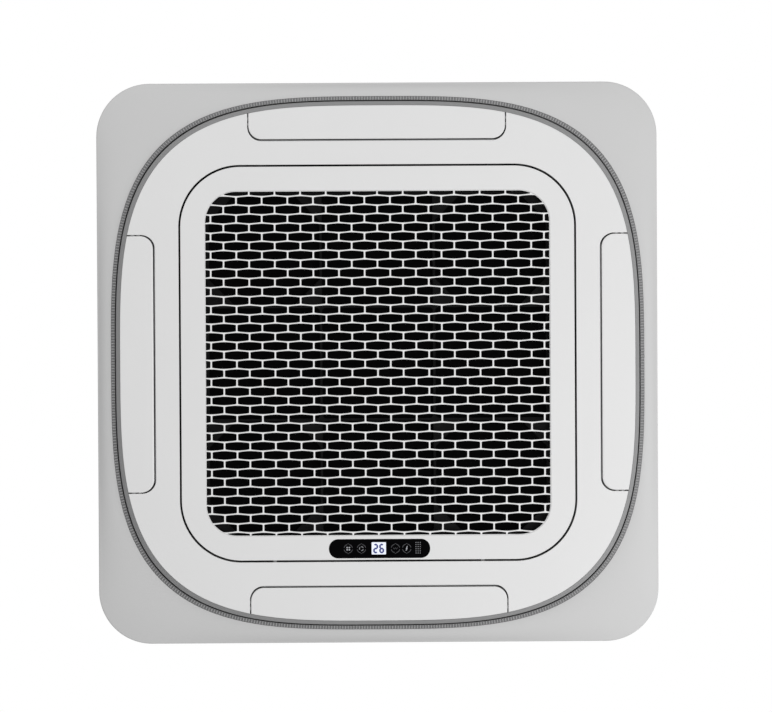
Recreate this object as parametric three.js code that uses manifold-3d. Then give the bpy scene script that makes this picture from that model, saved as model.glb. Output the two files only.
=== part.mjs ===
// Ceiling cassette air conditioner: a square body that hangs above the ceiling and a fascia panel below it,
// with a honeycomb intake grille in the middle and four motor-driven louvers round it.
// Millimetres, +Z up. The origin is the centre of the ceiling plane; +Y points to the display bar.

import * as THREE from 'three';
import { mergeGeometries, mergeVertices } from 'three/addons/utils/BufferGeometryUtils.js';
import Module from 'manifold-3d';

const wasm = await Module();
wasm.setup();

// ---------------------------------------------------------------------------------------------------------
// Driving dimensions
// ---------------------------------------------------------------------------------------------------------

// Fits shared by the whole product
const SEAT_GAP = 0.3; // between two pieces that touch
const RUNNING_GAP = 0.3; // between a pin and its bore
const MOULDED_WALL = 2.5; // walls and upstands of the plastic mouldings
const SHEET_STEEL = 1.5; // casing, brackets and boxes

// Fascia panel, from its outer edge inwards
const PANEL_OVERHANG = 55; // panel beyond the body, on each side
const PANEL_CORNER = 90;
const SKIRT_HEIGHT = 12; // outer edge of the fascia, below the ceiling
const FASCIA_WIDTH = 23; // sloping outer frame, at the middle of a side
const FASCIA_DROP = 22; // ceiling to the inner edge of the sloping frame
const TRIM_WIDTH = 7; // ribbed ring
const TRIM_DROP = 25;
const RING_GAP = 1.4; // shadow line between the ribbed ring and the rim
const RIM_WIDTH = 6.6; // chamfered rim of the centre panel
const RIM_DROP = 29; // ceiling to the outer edge of the chamfer
const RING_POWER = 3.37; // superellipse exponent of the ring, between a circle (2) and a square
const FACE_DROP = 38; // ceiling to the flat face of centre panel, grille and louvers
const FACE_THICKNESS = 3;
const EDGE_CHAMFER = 1;

// Louvers
const LOUVER_WIDTH = 56.9; // at the middle, from inner edge to the rim
const LOUVER_HALF_LENGTH = 217;
const LOUVER_INNER_CORNER = 22;
const LOUVER_GAP = 1.9; // along its inner edge and its ends
const LOUVER_PIVOT_INSET = 25; // inner edge to the pivot
const LOUVER_PIVOT_HEIGHT = 8; // face to the pivot
const LOUVER_PIN_RADIUS = 3;
const LOUVER_PIN_LENGTH = 8;
const LOUVER_LUG_RADIUS = 5.5;
const LOUVER_RIB_HEIGHT = 4;
const LOUVER_MOTOR_RADIUS = 12;
const LOUVER_MOTOR_LENGTH = 18;
const LOUVER_MOTOR_OFFSET = 7.5; // centre of the can above its output shaft
const LOUVER_MOTOR_EAR = 8; // width of its two ears
const LOUVER_PLUG_WIDTH = 10;
const LOUVER_PLUG_INSET = 6; // back of the motor to its plug
const LOUVER_PLUG_HEIGHT = 3; // above the can
const DUCT_CORNER = 4;
const DUCT_FLARE = 8; // how far the upright lower part of the duct leans outwards
const DUCT_KNEE_HEIGHT = 24; // face to the top of that part

// Intake grille
const STRIP_WIDTH = 40.8; // centre panel between a louver opening and the grille opening
const GRILLE_CORNER = 102;
const GRILLE_GAP = 2.4;
const GRILLE_FRAME_WIDTH = 42.3;
const OPENING_CORNER = 53;
const GRILLE_WALL_HEIGHT = 18; // upstand round the honeycomb, above the face
const GRILLE_SKIRT_HEIGHT = 11; // upstand round the outer edge, above the face
const CELL_PITCH = 86.8; // honeycomb cells, along X
const ROW_PITCH = 30.77; // honeycomb rows, along Y
const CELL_RISE = 3.3; // height of the gable of a cell above its shoulders
const WEB_THICKNESS = 4.6; // walls between the cells
const HONEYCOMB_RECESS = 1.5; // face of the frame to the honeycomb
const HONEYCOMB_DEPTH = 5;
const EDGE_WEB = 2; // solid border of the honeycomb

// Grille hinge and catches
const HINGE_INSET = 158.4; // side of the grille to the middle of a hinge
const HINGE_OFFSET = 8; // edge of the grille opening to the hinge axis, which lies behind the centre panel
const HINGE_HEIGHT = 5.6; // face to the hinge axis
const HINGE_THROAT = 10.2; // hinge axis to the inside of the arm, which passes round the edge of the panel
const HINGE_ARM_WIDTH = 6;
const HINGE_ARM_CORNER = 4; // cut off the outer bend of the arm
const HINGE_PIN_RADIUS = 1.2;
const HINGE_PIN_LENGTH = 2.8; // on each side of the arm
const HINGE_EYE_WALL = 0.8;
const HINGE_SLOT_MARGIN = 0.9; // round the arm, in the upstand and in the bracket
const HINGE_CHEEK = 2.2; // thickness of the bracket's cheeks
const HINGE_PLATE_MARGIN = 8; // bracket beyond the slot
const CATCH_SIDE_INSET = 136.4; // side of the grille to the middle of a catch
const CATCH_INSET = 32.5; // edge of the grille to the middle of the plunger, across the catch
const CATCH_WIDTH = 20;
const CATCH_WALL = 1.3;
const CATCH_LIFT = 1; // skirt of the grille to the underside of the catch
const PLUNGER_RADIUS = 4;
const PLUNGER_COLLAR = 1.5; // width and thickness of the collar that holds the plunger
const CATCH_HEIGHT = 18;

// Air filter
const FILTER_THICKNESS = 5;
const FILTER_RAIL = 9;
const FILTER_BAR = 4;
const FILTER_BAYS = 3; // bays each way
const FILTER_MESH_THICKNESS = 0.8;

// Display
const DISPLAY_LENGTH = 171;
const DISPLAY_HEIGHT = 32;
const DISPLAY_X = 1;
const DISPLAY_INSET = 20.3; // outer edge of the grille to the middle of the display
const DISPLAY_PROUD = 0.3;
const BOARD_THICKNESS = 1.6;
const BOARD_MARGIN = 4; // display board beyond the display, at each end
const CHIP_LENGTH = 24;
const CHIP_WIDTH = 12;
const CHIP_HEIGHT = 2;
const SOCKET_X = 56;
const SOCKET_LENGTH = 16;
const SOCKET_WIDTH = 8;
const SOCKET_HEIGHT = 5;

// Body above the ceiling
const BODY_SIDE = 840;
const BODY_CHAMFER = 75; // cut corners of the casing
const BODY_LIFT = 6; // ceiling plane to the underside of the body
const BODY_HEIGHT = 240;
const LINER_WALL = 21; // foam lining
const LINER_ROOF = 14;
const COVER_RIM = 14; // turned-down edge of the top cover
const COVER_RIB_HEIGHT = 5;
const COVER_RIB_WIDTH = 28;
const COVER_RIB_START = 124; // from the middle
const COVER_RIB_EDGE = 20; // end of a rib to the side of the body
const COVER_PAD_RADIUS = 94; // raised pad over the motor
const COVER_PAD_SLOPE = 10;
const PAN_HEIGHT = 44; // foam drain pan
const PAN_LEDGE = 14; // edge of its middle opening to the inside of the coil
const PAN_OPENING_CORNER = 53;
const TROUGH_DEPTH = 14;
const TROUGH_CLEARANCE = 3; // each side of the coil
const OUTLET_WIDTH = 42; // air outlets in the pan
const OUTLET_HALF_LENGTH = 196;
const OUTLET_RIM = 9; // pan left outside each outlet

// Air path
const COIL_CLEARANCE = 7.9; // coil to the air outlets round it
const COIL_CORNER = 80;
const COIL_THICKNESS = 34;
const COIL_OPEN_CORNER = 133; // corner without coil, for the pipes and the pump, along each side
const COIL_TOP_GAP = 3;
const THROAT_RADIUS = 165;
const BELL_LIP_RADIUS = 196;
const BELL_PLATE_DROP = 8; // underside of the bellmouth plate below the top of the pan
const BELL_HEIGHT = 38;
const FAN_RADIUS = 238;
const FAN_INLET_GAP = 4.5; // outside of the throat to the inlet of the fan
const FAN_CLEARANCE = 29.7; // back plate of the fan to the roof of the lining
const FAN_OVERLAP = 6; // height over which the throat reaches into the fan
const FAN_BLADES = 7;
const FAN_SKIN = 3; // back plate and shroud
const BLADE_THICKNESS = 5;
const BLADE_SWEEP = 48; // degrees that a blade trails from inlet to rim
const BLADE_CURVE = 0.9; // power of the radius that the trailing angle follows
const BLADE_TAPER = 0.6; // part of the thickness lost at the tip
const BLADE_TIP_INSET = 2; // tip inside the rim of the fan
const FAN_SHROUD_HEIGHT = 40; // inlet to the rim of the shroud
const BLADE_INNER_RADIUS = 148;
const BLADE_INNER_LIFT = 46; // inlet to the lower corner of a blade
const HUB_CONE_RADIUS = 60; // inside of the cone round the motor, at the hub plate
const HUB_FLARE = 30; // growth of that radius up to the back plate
const HUB_BOSS = 8;
const HUB_BOSS_RADIUS = 17;
const HUB_NUT_HEIGHT = 8;
const HUB_NUT_WALL = 5;
const HUB_DEPTH = 52; // cone, from the back plate down to the hub plate
const SHAFT_RADIUS = 6;
const SHAFT_END = 4; // shaft beyond the nut
const MOTOR_CLEARANCE = 8; // hub plate to the motor
const MOTOR_RADIUS = 56;
const MOTOR_HEIGHT = 50;
const MOTOR_FLANGE = 4; // thickness, at the top of the motor
const MOTOR_END = 8; // bevel of the drum, and its closed top over the shaft
const MOTOR_FOOT_RADIUS = 6;
const MOTOR_FEET = 4;
const MOTOR_FOOT_CIRCLE = 64;

// Pipes, pump and control box
const GAS_PIPE_RADIUS = 7.94;
const LIQUID_PIPE_RADIUS = 4.76;
const PIPE_BEND_RADIUS = 24;
const PIPE_ROW_OFFSET = 41; // end of the coil to the two pipes
const GAS_PIPE_Z = 112;
const LIQUID_PIPE_Z = 156;
const PIPE_REACH = 44; // outside the casing
const PIPE_WINDOW_MARGIN = 12; // casing window beyond the larger pipe
const PIPE_COVER_MARGIN = 10; // cover beyond the window
const FLARE_NUT_LENGTH = 18;
const FLARE_NUT_WALL = 4.5;
const DRAIN_HOSE_RADIUS = 10;
const DRAIN_REACH = 40;
const DRAIN_Z = 176;
const PUMP_INSET = 91.2; // foam lining to the axis of the pump, both ways
const PUMP_RADIUS = 25;
const SUMP_DEPTH = 26; // pit in the pan under the pump and the float
const SUMP_MARGIN = 12; // round the pump housing
const PUMP_INLET_GAP = 4; // pit floor to the inlet
const PUMP_INLET_LENGTH = 10;
const PUMP_INLET_RADIUS = 9;
const PUMP_CHAMBER_HEIGHT = 36;
const PUMP_MOTOR_RADIUS = 21;
const PUMP_MOTOR_HEIGHT = 44;
const PUMP_WALL = 3;
const PUMP_TAB = 20; // tab by which the bracket is fixed to the roof
const IMPELLER_RADIUS = 17;
const IMPELLER_HEIGHT = 12;
const IMPELLER_VANE = 1.6;
const IMPELLER_SHAFT_RADIUS = 2.5;
const IMPELLER_SHAFT_LENGTH = 34; // above the underside of the pump housing
const FLOAT_OFFSET = 42; // pump axis to the float stem
const FLOAT_STEM_RADIUS = 3;
const FLOAT_STOP = 2;
const FLOAT_CAP_RADIUS = 7;
const FLOAT_CAP_HEIGHT = 8;
const FLOAT_RADIUS = 10;
const FLOAT_HEIGHT = 14;
const FLOAT_STOP_LIFT = 6; // pit floor to the seat of the float
const CONTROL_BOX_LENGTH = 300;
const CONTROL_BOX_WIDTH = 80;
const CONTROL_BOX_HEIGHT = 28;
const CONTROL_BOX_LIP = 4; // edge of the cover that reaches into the box
const CONTROL_BOX_EDGE_GAP = 6; // to the edge of the pan opening
const BOARD_STANDOFF = 4;
const POST_RADIUS = 3;
const TERMINALS = { x: 4, length: 60, y: -14, width: 28, height: 12 }; // from the left end of the board
const HEAT_SINK = { x: 90, length: 60, y: -24, width: 14, height: 10 };
const RELAY = { x: 84, length: 18, y: 2, width: 18, height: 14 };
const RELAY_PITCH = 24;
const CAPACITOR_RADIUS = 9;
const CAPACITOR_HEIGHT = 15;
const CAPACITOR_PITCH = 24;
const CAPACITOR_INSET = 40; // right end of the board to the first capacitor

// Hanger brackets
const HANGER_WIDTH = 90;
const HANGER_HEIGHT = 46;
const HANGER_REACH = 40;
const HANGER_THICKNESS = 2.5;
const HANGER_Z = 120; // upper face of the bearing flange
const HANGER_SLOT_WIDTH = 12.5;
const HANGER_SLOT_LENGTH = 22;
const HANGER_SLOT_END = 8; // end of the slot to the edge of the flange
const HANGER_FLANGE_INSET = 10; // flange narrower than the plate, at each side
const HANGER_CORNER = 6;

// ---------------------------------------------------------------------------------------------------------
// Places worked out from the dimensions
// ---------------------------------------------------------------------------------------------------------

const bodyHalf = BODY_SIDE / 2;
const panelHalf = bodyHalf + PANEL_OVERHANG;
const fasciaInner = panelHalf - FASCIA_WIDTH;
const trimOuter = fasciaInner - SEAT_GAP;
const trimInner = trimOuter - TRIM_WIDTH;
const rimOuter = trimInner - RING_GAP;
const rimInner = rimOuter - RIM_WIDTH;
const centreHalf = rimInner - SEAT_GAP;
const louverInner = centreHalf - LOUVER_WIDTH;
const louverPivot = louverInner + LOUVER_PIVOT_INSET;
const notchInner = louverInner - LOUVER_GAP;
const notchHalfLength = LOUVER_HALF_LENGTH + LOUVER_GAP;
const grilleHoleHalf = notchInner - STRIP_WIDTH;
const grilleHalf = grilleHoleHalf - GRILLE_GAP;
const grilleHoleCorner = GRILLE_CORNER + GRILLE_GAP;
const openingHalf = grilleHalf - GRILLE_FRAME_WIDTH;

const faceZ = -FACE_DROP;
const faceBackZ = faceZ + FACE_THICKNESS;
const baseZ = -FACE_THICKNESS; // underside of the panel base, which lies against the ceiling
const louverPivotZ = faceZ + LOUVER_PIVOT_HEIGHT;
const ductKneeZ = faceZ + DUCT_KNEE_HEIGHT;
const hingeX = grilleHalf - HINGE_INSET;
const hingeY = grilleHoleHalf + HINGE_OFFSET;
const hingeZ = faceZ + HINGE_HEIGHT;
const hingeEye = HINGE_PIN_RADIUS + RUNNING_GAP + HINGE_EYE_WALL;
const hingeSlotHalf = HINGE_ARM_WIDTH / 2 + HINGE_SLOT_MARGIN;
const hingeSlotTopZ = hingeZ + HINGE_THROAT + MOULDED_WALL + HINGE_SLOT_MARGIN;
const catchX = grilleHalf - CATCH_SIDE_INSET;
const catchY = -(grilleHalf - CATCH_INSET);
const grilleWallTopZ = faceZ + GRILLE_WALL_HEIGHT;
const filterZ = grilleWallTopZ + SEAT_GAP;
const catchZ = faceZ + GRILLE_SKIRT_HEIGHT + CATCH_LIFT;
const catchTopZ = catchZ + CATCH_HEIGHT;

const bodyTopZ = BODY_LIFT + BODY_HEIGHT;
const casingInner = bodyHalf - SHEET_STEEL;
const linerOuter = casingInner - SEAT_GAP;
const linerInner = linerOuter - LINER_WALL;
const linerTopZ = bodyTopZ - SEAT_GAP;
const linerChamfer = BODY_CHAMFER - LINER_WALL * (2 - Math.SQRT2); // keeps the wall even at the cut corners
const linerRoofZ = linerTopZ - LINER_ROOF;
const panHalf = linerInner - SEAT_GAP;
const panTopZ = BODY_LIFT + PAN_HEIGHT;
const outletOuter = panHalf - OUTLET_RIM;
const outletInner = outletOuter - OUTLET_WIDTH;
const troughZ = panTopZ - TROUGH_DEPTH;
const coilZ = troughZ + SEAT_GAP;
const coilTopZ = linerRoofZ - COIL_TOP_GAP;
const coilHalf = outletInner - COIL_CLEARANCE;
const coilInner = coilHalf - COIL_THICKNESS;
const coilEnd = coilHalf - COIL_OPEN_CORNER;
const panOpening = coilInner - PAN_LEDGE;
const pipeRowY = -(coilEnd + PIPE_ROW_OFFSET);
const pumpX = linerInner - PUMP_INSET;
const pumpY = -pumpX;
const bellPlateZ = panTopZ - BELL_PLATE_DROP;
const bellTopZ = bellPlateZ + BELL_HEIGHT;
const fanInlet = THROAT_RADIUS + MOULDED_WALL + FAN_INLET_GAP;
const fanZ = bellTopZ - FAN_OVERLAP;
const fanTopZ = linerRoofZ - FAN_CLEARANCE;
const shroudRimZ = fanZ + FAN_SHROUD_HEIGHT;
const hubZ = fanTopZ - HUB_DEPTH; // underside of the hub plate
const motorZ = hubZ + FAN_SKIN + MOTOR_CLEARANCE;
const motorTopZ = motorZ + MOTOR_HEIGHT;
const sumpZ = panTopZ - SUMP_DEPTH;
const pumpZ = sumpZ + PUMP_INLET_GAP + PUMP_INLET_LENGTH; // underside of the pump housing
const pumpTopZ = pumpZ + PUMP_CHAMBER_HEIGHT + PUMP_MOTOR_HEIGHT;
const impellerTopZ = pumpZ + IMPELLER_SHAFT_LENGTH;
const floatStopZ = sumpZ + FLOAT_STOP_LIFT;
const pipeEnd = bodyHalf + PIPE_REACH;
const pipeWindow = GAS_PIPE_RADIUS + PIPE_WINDOW_MARGIN;
const controlBoxTopZ = bellPlateZ - SEAT_GAP;
const controlBoxY = panOpening - CONTROL_BOX_EDGE_GAP - CONTROL_BOX_WIDTH / 2;

// ---------------------------------------------------------------------------------------------------------
// Materials
// ---------------------------------------------------------------------------------------------------------

function finish(color, roughness, metalness = 0) {
  return new THREE.MeshStandardMaterial({ color, roughness, metalness, flatShading: true });
}

const whitePlastic = finish(0xe2e2e0, 0.5);
const fasciaPlastic = finish(0xd4d4d2, 0.55);
const rimPlastic = finish(0x9a9b9d, 0.5);
const ribbedPlastic = finish(0x8d8e91, 0.6);
const greyPlastic = finish(0xb4b6b8, 0.6);
const blackPlastic = finish(0x1b1c1e, 0.55);
const glossBlack = finish(0x08090b, 0.08);
const filterPlastic = finish(0x6a7078, 0.7);
const galvanisedSteel = finish(0xb9bdc0, 0.42, 0.9);
const foam = finish(0xeceae4, 0.9);
const darkFoam = finish(0x2a2b2d, 0.95);
const aluminium = finish(0xc8cbce, 0.4, 0.85);
const copper = finish(0xb87348, 0.35, 0.95);
const brass = finish(0xc2a14e, 0.35, 0.95);
const darkSteel = finish(0x55585c, 0.45, 0.85);
const circuitBoard = finish(0x1f6b45, 0.55);

// ---------------------------------------------------------------------------------------------------------
// Shape tools
// ---------------------------------------------------------------------------------------------------------

const unit = new THREE.Group();

function place(name, geometry, material, parent = unit) {
  const mesh = new THREE.Mesh(geometry, material);
  mesh.name = name;
  parent.add(mesh);
  return mesh;
}

// Vertices shared and faces turned outwards, whichever way the shape was drawn
function closed(geometry) {
  const bare = geometry.clone();
  bare.deleteAttribute('normal');
  bare.deleteAttribute('uv');
  const merged = mergeVertices(bare, 1e-4);
  const at = merged.getAttribute('position');
  const index = [];
  const corners = merged.getIndex().array;
  for (let i = 0; i < corners.length; i += 3) {
    const [p, q, r] = corners.slice(i, i + 3);
    if (p !== q && q !== r && r !== p) index.push(p, q, r);
  }
  const a = new THREE.Vector3();
  const b = new THREE.Vector3();
  const c = new THREE.Vector3();
  let volume = 0;
  for (let i = 0; i < index.length; i += 3) {
    a.fromBufferAttribute(at, index[i]);
    b.fromBufferAttribute(at, index[i + 1]);
    c.fromBufferAttribute(at, index[i + 2]);
    volume += a.dot(b.cross(c));
  }
  if (volume < 0) {
    for (let i = 0; i < index.length; i += 3) {
      [index[i], index[i + 1]] = [index[i + 1], index[i]];
    }
  }
  merged.setIndex(index);
  return merged;
}

function solid(geometry) {
  const merged = closed(geometry);
  return new wasm.Manifold(new wasm.Mesh({
    numProp: 3,
    vertProperties: new Float32Array(merged.getAttribute('position').array),
    triVerts: new Uint32Array(merged.getIndex().array),
  }));
}

function surface(manifold) {
  const mesh = manifold.getMesh();
  const geometry = new THREE.BufferGeometry();
  geometry.setAttribute('position', new THREE.BufferAttribute(new Float32Array(mesh.vertProperties), 3));
  geometry.setIndex(new THREE.BufferAttribute(new Uint32Array(mesh.triVerts), 1));
  geometry.computeVertexNormals();
  return geometry;
}

function join(...geometries) {
  return surface(geometries.map(solid).reduce((whole, piece) => whole.add(piece)));
}

function cut(geometry, ...tools) {
  return surface(tools.map(solid).reduce((whole, tool) => whole.subtract(tool), solid(geometry)));
}

function common(geometry, tool) {
  return surface(solid(geometry).intersect(solid(tool)));
}

function block(x0, x1, y0, y1, z0, z1) {
  const geometry = new THREE.BoxGeometry(x1 - x0, y1 - y0, z1 - z0);
  return geometry.translate((x0 + x1) / 2, (y0 + y1) / 2, (z0 + z1) / 2);
}

// Round bar along Z, or along Y or X
function bar(radius, start, end, axis = 'z', sides = 10) {
  const geometry = new THREE.CylinderGeometry(radius, radius, end - start, sides);
  geometry.translate(0, (start + end) / 2, 0);
  if (axis === 'z') geometry.rotateX(Math.PI / 2);
  if (axis === 'x') geometry.rotateZ(-Math.PI / 2);
  return geometry;
}

// Cutter for a round hole: its flats, not its corners, stand at the radius
function bore(radius, start, end, axis = 'z', sides = 12) {
  return bar(radius / Math.cos(Math.PI / sides), start, end, axis, sides);
}

// A revolved section about Z; the section is a closed list of [radius, height]
function turned(section, sides = 24) {
  const points = section.map(([radius, height]) => new THREE.Vector2(radius, height));
  points.push(points[0].clone());
  return closed(new THREE.LatheGeometry(points, sides).rotateX(Math.PI / 2));
}

// A flat outline with holes, raised from z0 to z1
function slab(outline, z0, z1, holes = [], bevel = 0) {
  const shape = new THREE.Shape(outline);
  for (const hole of holes) shape.holes.push(new THREE.Path(hole));
  const geometry = new THREE.ExtrudeGeometry(shape, {
    depth: z1 - z0 - 2 * bevel,
    steps: 1,
    bevelEnabled: bevel > 0,
    bevelThickness: bevel,
    bevelSize: bevel,
    bevelOffset: -bevel,
    bevelSegments: 1,
  });
  return geometry.translate(0, 0, z0 + bevel);
}

// A profile of [y, z] points, extruded along X
function sideways(profile, x0, x1) {
  const outline = profile.map(([y, z]) => new THREE.Vector2(y, z));
  return slab(outline, x0, x1).rotateX(Math.PI / 2).rotateZ(Math.PI / 2);
}

// Round bar along a path
function tube(path, radius, corners, steps) {
  const section = Array.from({ length: corners }, (_, i) => new THREE.Vector2(
    radius * Math.cos(2 * Math.PI * i / corners), radius * Math.sin(2 * Math.PI * i / corners)));
  return new THREE.ExtrudeGeometry(new THREE.Shape(section), {
    steps,
    bevelEnabled: false,
    extrudePath: path,
  });
}

// Directions that every ring of the panel is drawn along, closest together at the corners
const quadrantAngles = [0, 10, 20, 29, 35, 38.5, 42, 45, 48, 51.5, 55, 61, 70, 80];
const ringAngles = [0, 90, 180, 270].flatMap((turn) => quadrantAngles.map((angle) => angle + turn));

// Distance from the middle to a superellipse, and to a square with round corners, along one direction
function ringReach(half, angle) {
  const c = Math.abs(Math.cos(angle)) ** RING_POWER;
  const s = Math.abs(Math.sin(angle)) ** RING_POWER;
  return half / (c + s) ** (1 / RING_POWER);
}

function squareReach(half, corner, angle) {
  const c = Math.max(Math.abs(Math.cos(angle)), Math.abs(Math.sin(angle)));
  const s = Math.min(Math.abs(Math.cos(angle)), Math.abs(Math.sin(angle)));
  const centre = half - corner;
  if (half * s <= centre * c) return half / c;
  const along = centre * (c + s);
  return along + Math.sqrt(along ** 2 - 2 * centre ** 2 + corner ** 2);
}

function ringLoop(half, z) {
  return ringAngles.map((degrees) => {
    const angle = THREE.MathUtils.degToRad(degrees);
    const reach = ringReach(half, angle);
    return new THREE.Vector3(reach * Math.cos(angle), reach * Math.sin(angle), z);
  });
}

function squareLoop(half, corner, z = 0) {
  return ringAngles.map((degrees) => {
    const angle = THREE.MathUtils.degToRad(degrees);
    const reach = squareReach(half, corner, angle);
    return new THREE.Vector3(reach * Math.cos(angle), reach * Math.sin(angle), z);
  });
}

// A square outline with round corners of few points, for inner pieces
function roundedRectangle(x0, x1, y0, y1, corner, steps = 4) {
  const points = [];
  const centres = [[x1 - corner, y1 - corner], [x0 + corner, y1 - corner], [x0 + corner, y0 + corner],
    [x1 - corner, y0 + corner]];
  centres.forEach(([cx, cy], quarter) => {
    for (let step = 0; step <= steps; step += 1) {
      const angle = (quarter + step / steps) * Math.PI / 2;
      points.push(new THREE.Vector2(cx + corner * Math.cos(angle), cy + corner * Math.sin(angle)));
    }
  });
  return points;
}

function roundedSquare(half, corner, steps = 4) {
  return roundedRectangle(-half, half, -half, half, corner, steps);
}

// A square with cut corners
function chamferedSquare(half, chamfer) {
  return roundedSquare(half, chamfer, 1);
}

// A closed ring: each loop is joined to the next, and the last to the first
function ringSolid(loops) {
  const count = loops[0].length;
  const positions = loops.flat().flatMap((point) => [point.x, point.y, point.z]);
  const faces = [];
  loops.forEach((loop, row) => {
    const next = (row + 1) % loops.length;
    for (let i = 0; i < count; i += 1) {
      const j = (i + 1) % count;
      faces.push(row * count + i, row * count + j, next * count + j);
      faces.push(row * count + i, next * count + j, next * count + i);
    }
  });
  const geometry = new THREE.BufferGeometry();
  geometry.setAttribute('position', new THREE.Float32BufferAttribute(positions, 3));
  geometry.setIndex(faces);
  return closed(geometry);
}

function turn(geometry, degrees) {
  return geometry.clone().rotateZ(THREE.MathUtils.degToRad(degrees));
}

// ---------------------------------------------------------------------------------------------------------
// Fascia panel
// ---------------------------------------------------------------------------------------------------------

const sides = { right: 0, back: 90, left: 180, front: 270 };

// Outer lip of the ducts, straight across inside the curve of the ring
const ductLip = ringAcross(centreHalf, notchHalfLength + MOULDED_WALL) - 2 * MOULDED_WALL;

// Outer frame: a thin shell that slopes from the skirt down to the ribbed ring
function fasciaFrame() {
  const corner = PANEL_CORNER;
  return ringSolid([
    squareLoop(panelHalf, corner, 0),
    squareLoop(panelHalf, corner, -SKIRT_HEIGHT + EDGE_CHAMFER),
    squareLoop(panelHalf - 2 * EDGE_CHAMFER, corner - 2 * EDGE_CHAMFER, -SKIRT_HEIGHT),
    ringLoop(fasciaInner, -FASCIA_DROP),
    ringLoop(fasciaInner, -FASCIA_DROP + FACE_THICKNESS),
    squareLoop(panelHalf - MOULDED_WALL, corner - MOULDED_WALL, -SKIRT_HEIGHT + FACE_THICKNESS),
    squareLoop(panelHalf - MOULDED_WALL, corner - MOULDED_WALL, 0),
  ]);
}

// Ribbed ring: stands on the panel base and closes the inner edge of the fascia
function ribbedTrim() {
  return ringSolid([
    ringLoop(trimOuter, baseZ - SEAT_GAP),
    ringLoop(trimOuter, -FASCIA_DROP - EDGE_CHAMFER),
    ringLoop(trimInner, -TRIM_DROP),
    ringLoop(trimInner, baseZ - SEAT_GAP),
  ]);
}

// Chamfered rim of the centre panel
function rimBand() {
  return ringSolid([
    ringLoop(rimOuter, baseZ - SEAT_GAP),
    ringLoop(rimOuter, -RIM_DROP),
    ringLoop(rimInner, faceZ + EDGE_CHAMFER / 2),
    ringLoop(rimInner, faceBackZ),
    ringLoop(rimOuter - MOULDED_WALL, -RIM_DROP + MOULDED_WALL),
    ringLoop(rimOuter - MOULDED_WALL, baseZ - SEAT_GAP),
  ]);
}

// Where a superellipse ring lies at a distance across its axis
function ringAcross(half, across) {
  return (half ** RING_POWER - across ** RING_POWER) ** (1 / RING_POWER);
}

// Outline of a louver opening, or of the louver in it, on the +X side; it runs past the edge of the panel
function louverOutline(inner, halfLength, corner) {
  const lower = [];
  const steps = 4;
  for (let step = 0; step <= steps; step += 1) {
    const angle = Math.PI + (step / steps) * Math.PI / 2;
    const x = inner + corner + corner * Math.cos(angle);
    lower.push(new THREE.Vector2(x, -halfLength + corner + corner * Math.sin(angle)));
  }
  lower.push(new THREE.Vector2(panelHalf, -halfLength));
  const upper = lower.map((point) => new THREE.Vector2(point.x, -point.y)).reverse();
  return [...lower, ...upper];
}

// Centre panel: the flat face with its intake hole, the upstand round that hole with a slot for each hinge
// arm, and four louver openings
function centrePanel() {
  const edge = EDGE_CHAMFER;
  const wall = grilleHoleHalf + MOULDED_WALL;
  const wallCorner = grilleHoleCorner + MOULDED_WALL;
  const plate = ringSolid([
    ringLoop(centreHalf, faceBackZ),
    ringLoop(centreHalf, faceZ + edge / 2),
    ringLoop(centreHalf - edge, faceZ),
    squareLoop(grilleHoleHalf + edge / 2, grilleHoleCorner, faceZ),
    squareLoop(grilleHoleHalf, grilleHoleCorner, faceZ + edge / 2),
    squareLoop(grilleHoleHalf, grilleHoleCorner, baseZ - SEAT_GAP),
    squareLoop(wall, wallCorner, baseZ - SEAT_GAP),
    squareLoop(wall, wallCorner, faceBackZ),
  ]);
  const outline = louverOutline(notchInner, notchHalfLength, LOUVER_INNER_CORNER + LOUVER_GAP);
  const notch = slab(outline, faceZ - FACE_THICKNESS, faceBackZ + SEAT_GAP);
  const notches = Object.values(sides).map((side) => turn(notch, side));
  const slots = [-hingeX, hingeX].map((x) => block(x - hingeSlotHalf, x + hingeSlotHalf,
    grilleHoleHalf - 1, wall + 1, faceBackZ, hingeSlotTopZ));
  return cut(plate, ...notches, ...slots);
}

// Panel base: the flat rear frame on the ceiling, open for the intake and over each duct
function panelBase() {
  const half = panelHalf - MOULDED_WALL - SEAT_GAP;
  const outline = squareLoop(half, PANEL_CORNER - MOULDED_WALL - SEAT_GAP);
  const intake = squareLoop(grilleHoleHalf, grilleHoleCorner);
  const outlet = slab(ductMouth(), baseZ - FACE_THICKNESS, FACE_THICKNESS);
  const plate = slab(outline, baseZ, 0, [intake]);
  return cut(plate, ...Object.values(sides).map((side) => turn(outlet, side)));
}

// Foam gasket between the panel base and the body, round the intake and the four air outlets
function panelSeal() {
  const outline = chamferedSquare(bodyHalf - SEAT_GAP, BODY_CHAMFER);
  const intake = roundedSquare(panOpening, PAN_OPENING_CORNER, 3);
  const outlet = slab(ductMouth(), 0, BODY_LIFT + FACE_THICKNESS);
  const sheet = slab(outline, SEAT_GAP, BODY_LIFT - SEAT_GAP, [intake]);
  return cut(sheet, ...Object.values(sides).map((side) => turn(outlet, side)));
}

// ---------------------------------------------------------------------------------------------------------
// Air outlets: everything here is drawn on the +X side and turned to the other three
// ---------------------------------------------------------------------------------------------------------

// The mouth of a duct, where the air leaves the drain pan
function ductMouth() {
  return roundedRectangle(outletInner, outletOuter, -OUTLET_HALF_LENGTH, OUTLET_HALF_LENGTH, DUCT_CORNER, 1);
}

function ductLoop(x0, x1, halfLength, z) {
  const outline = roundedRectangle(x0, x1, -halfLength, halfLength, DUCT_CORNER, 1);
  return outline.map((point) => new THREE.Vector3(point.x, point.y, z));
}

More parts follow.
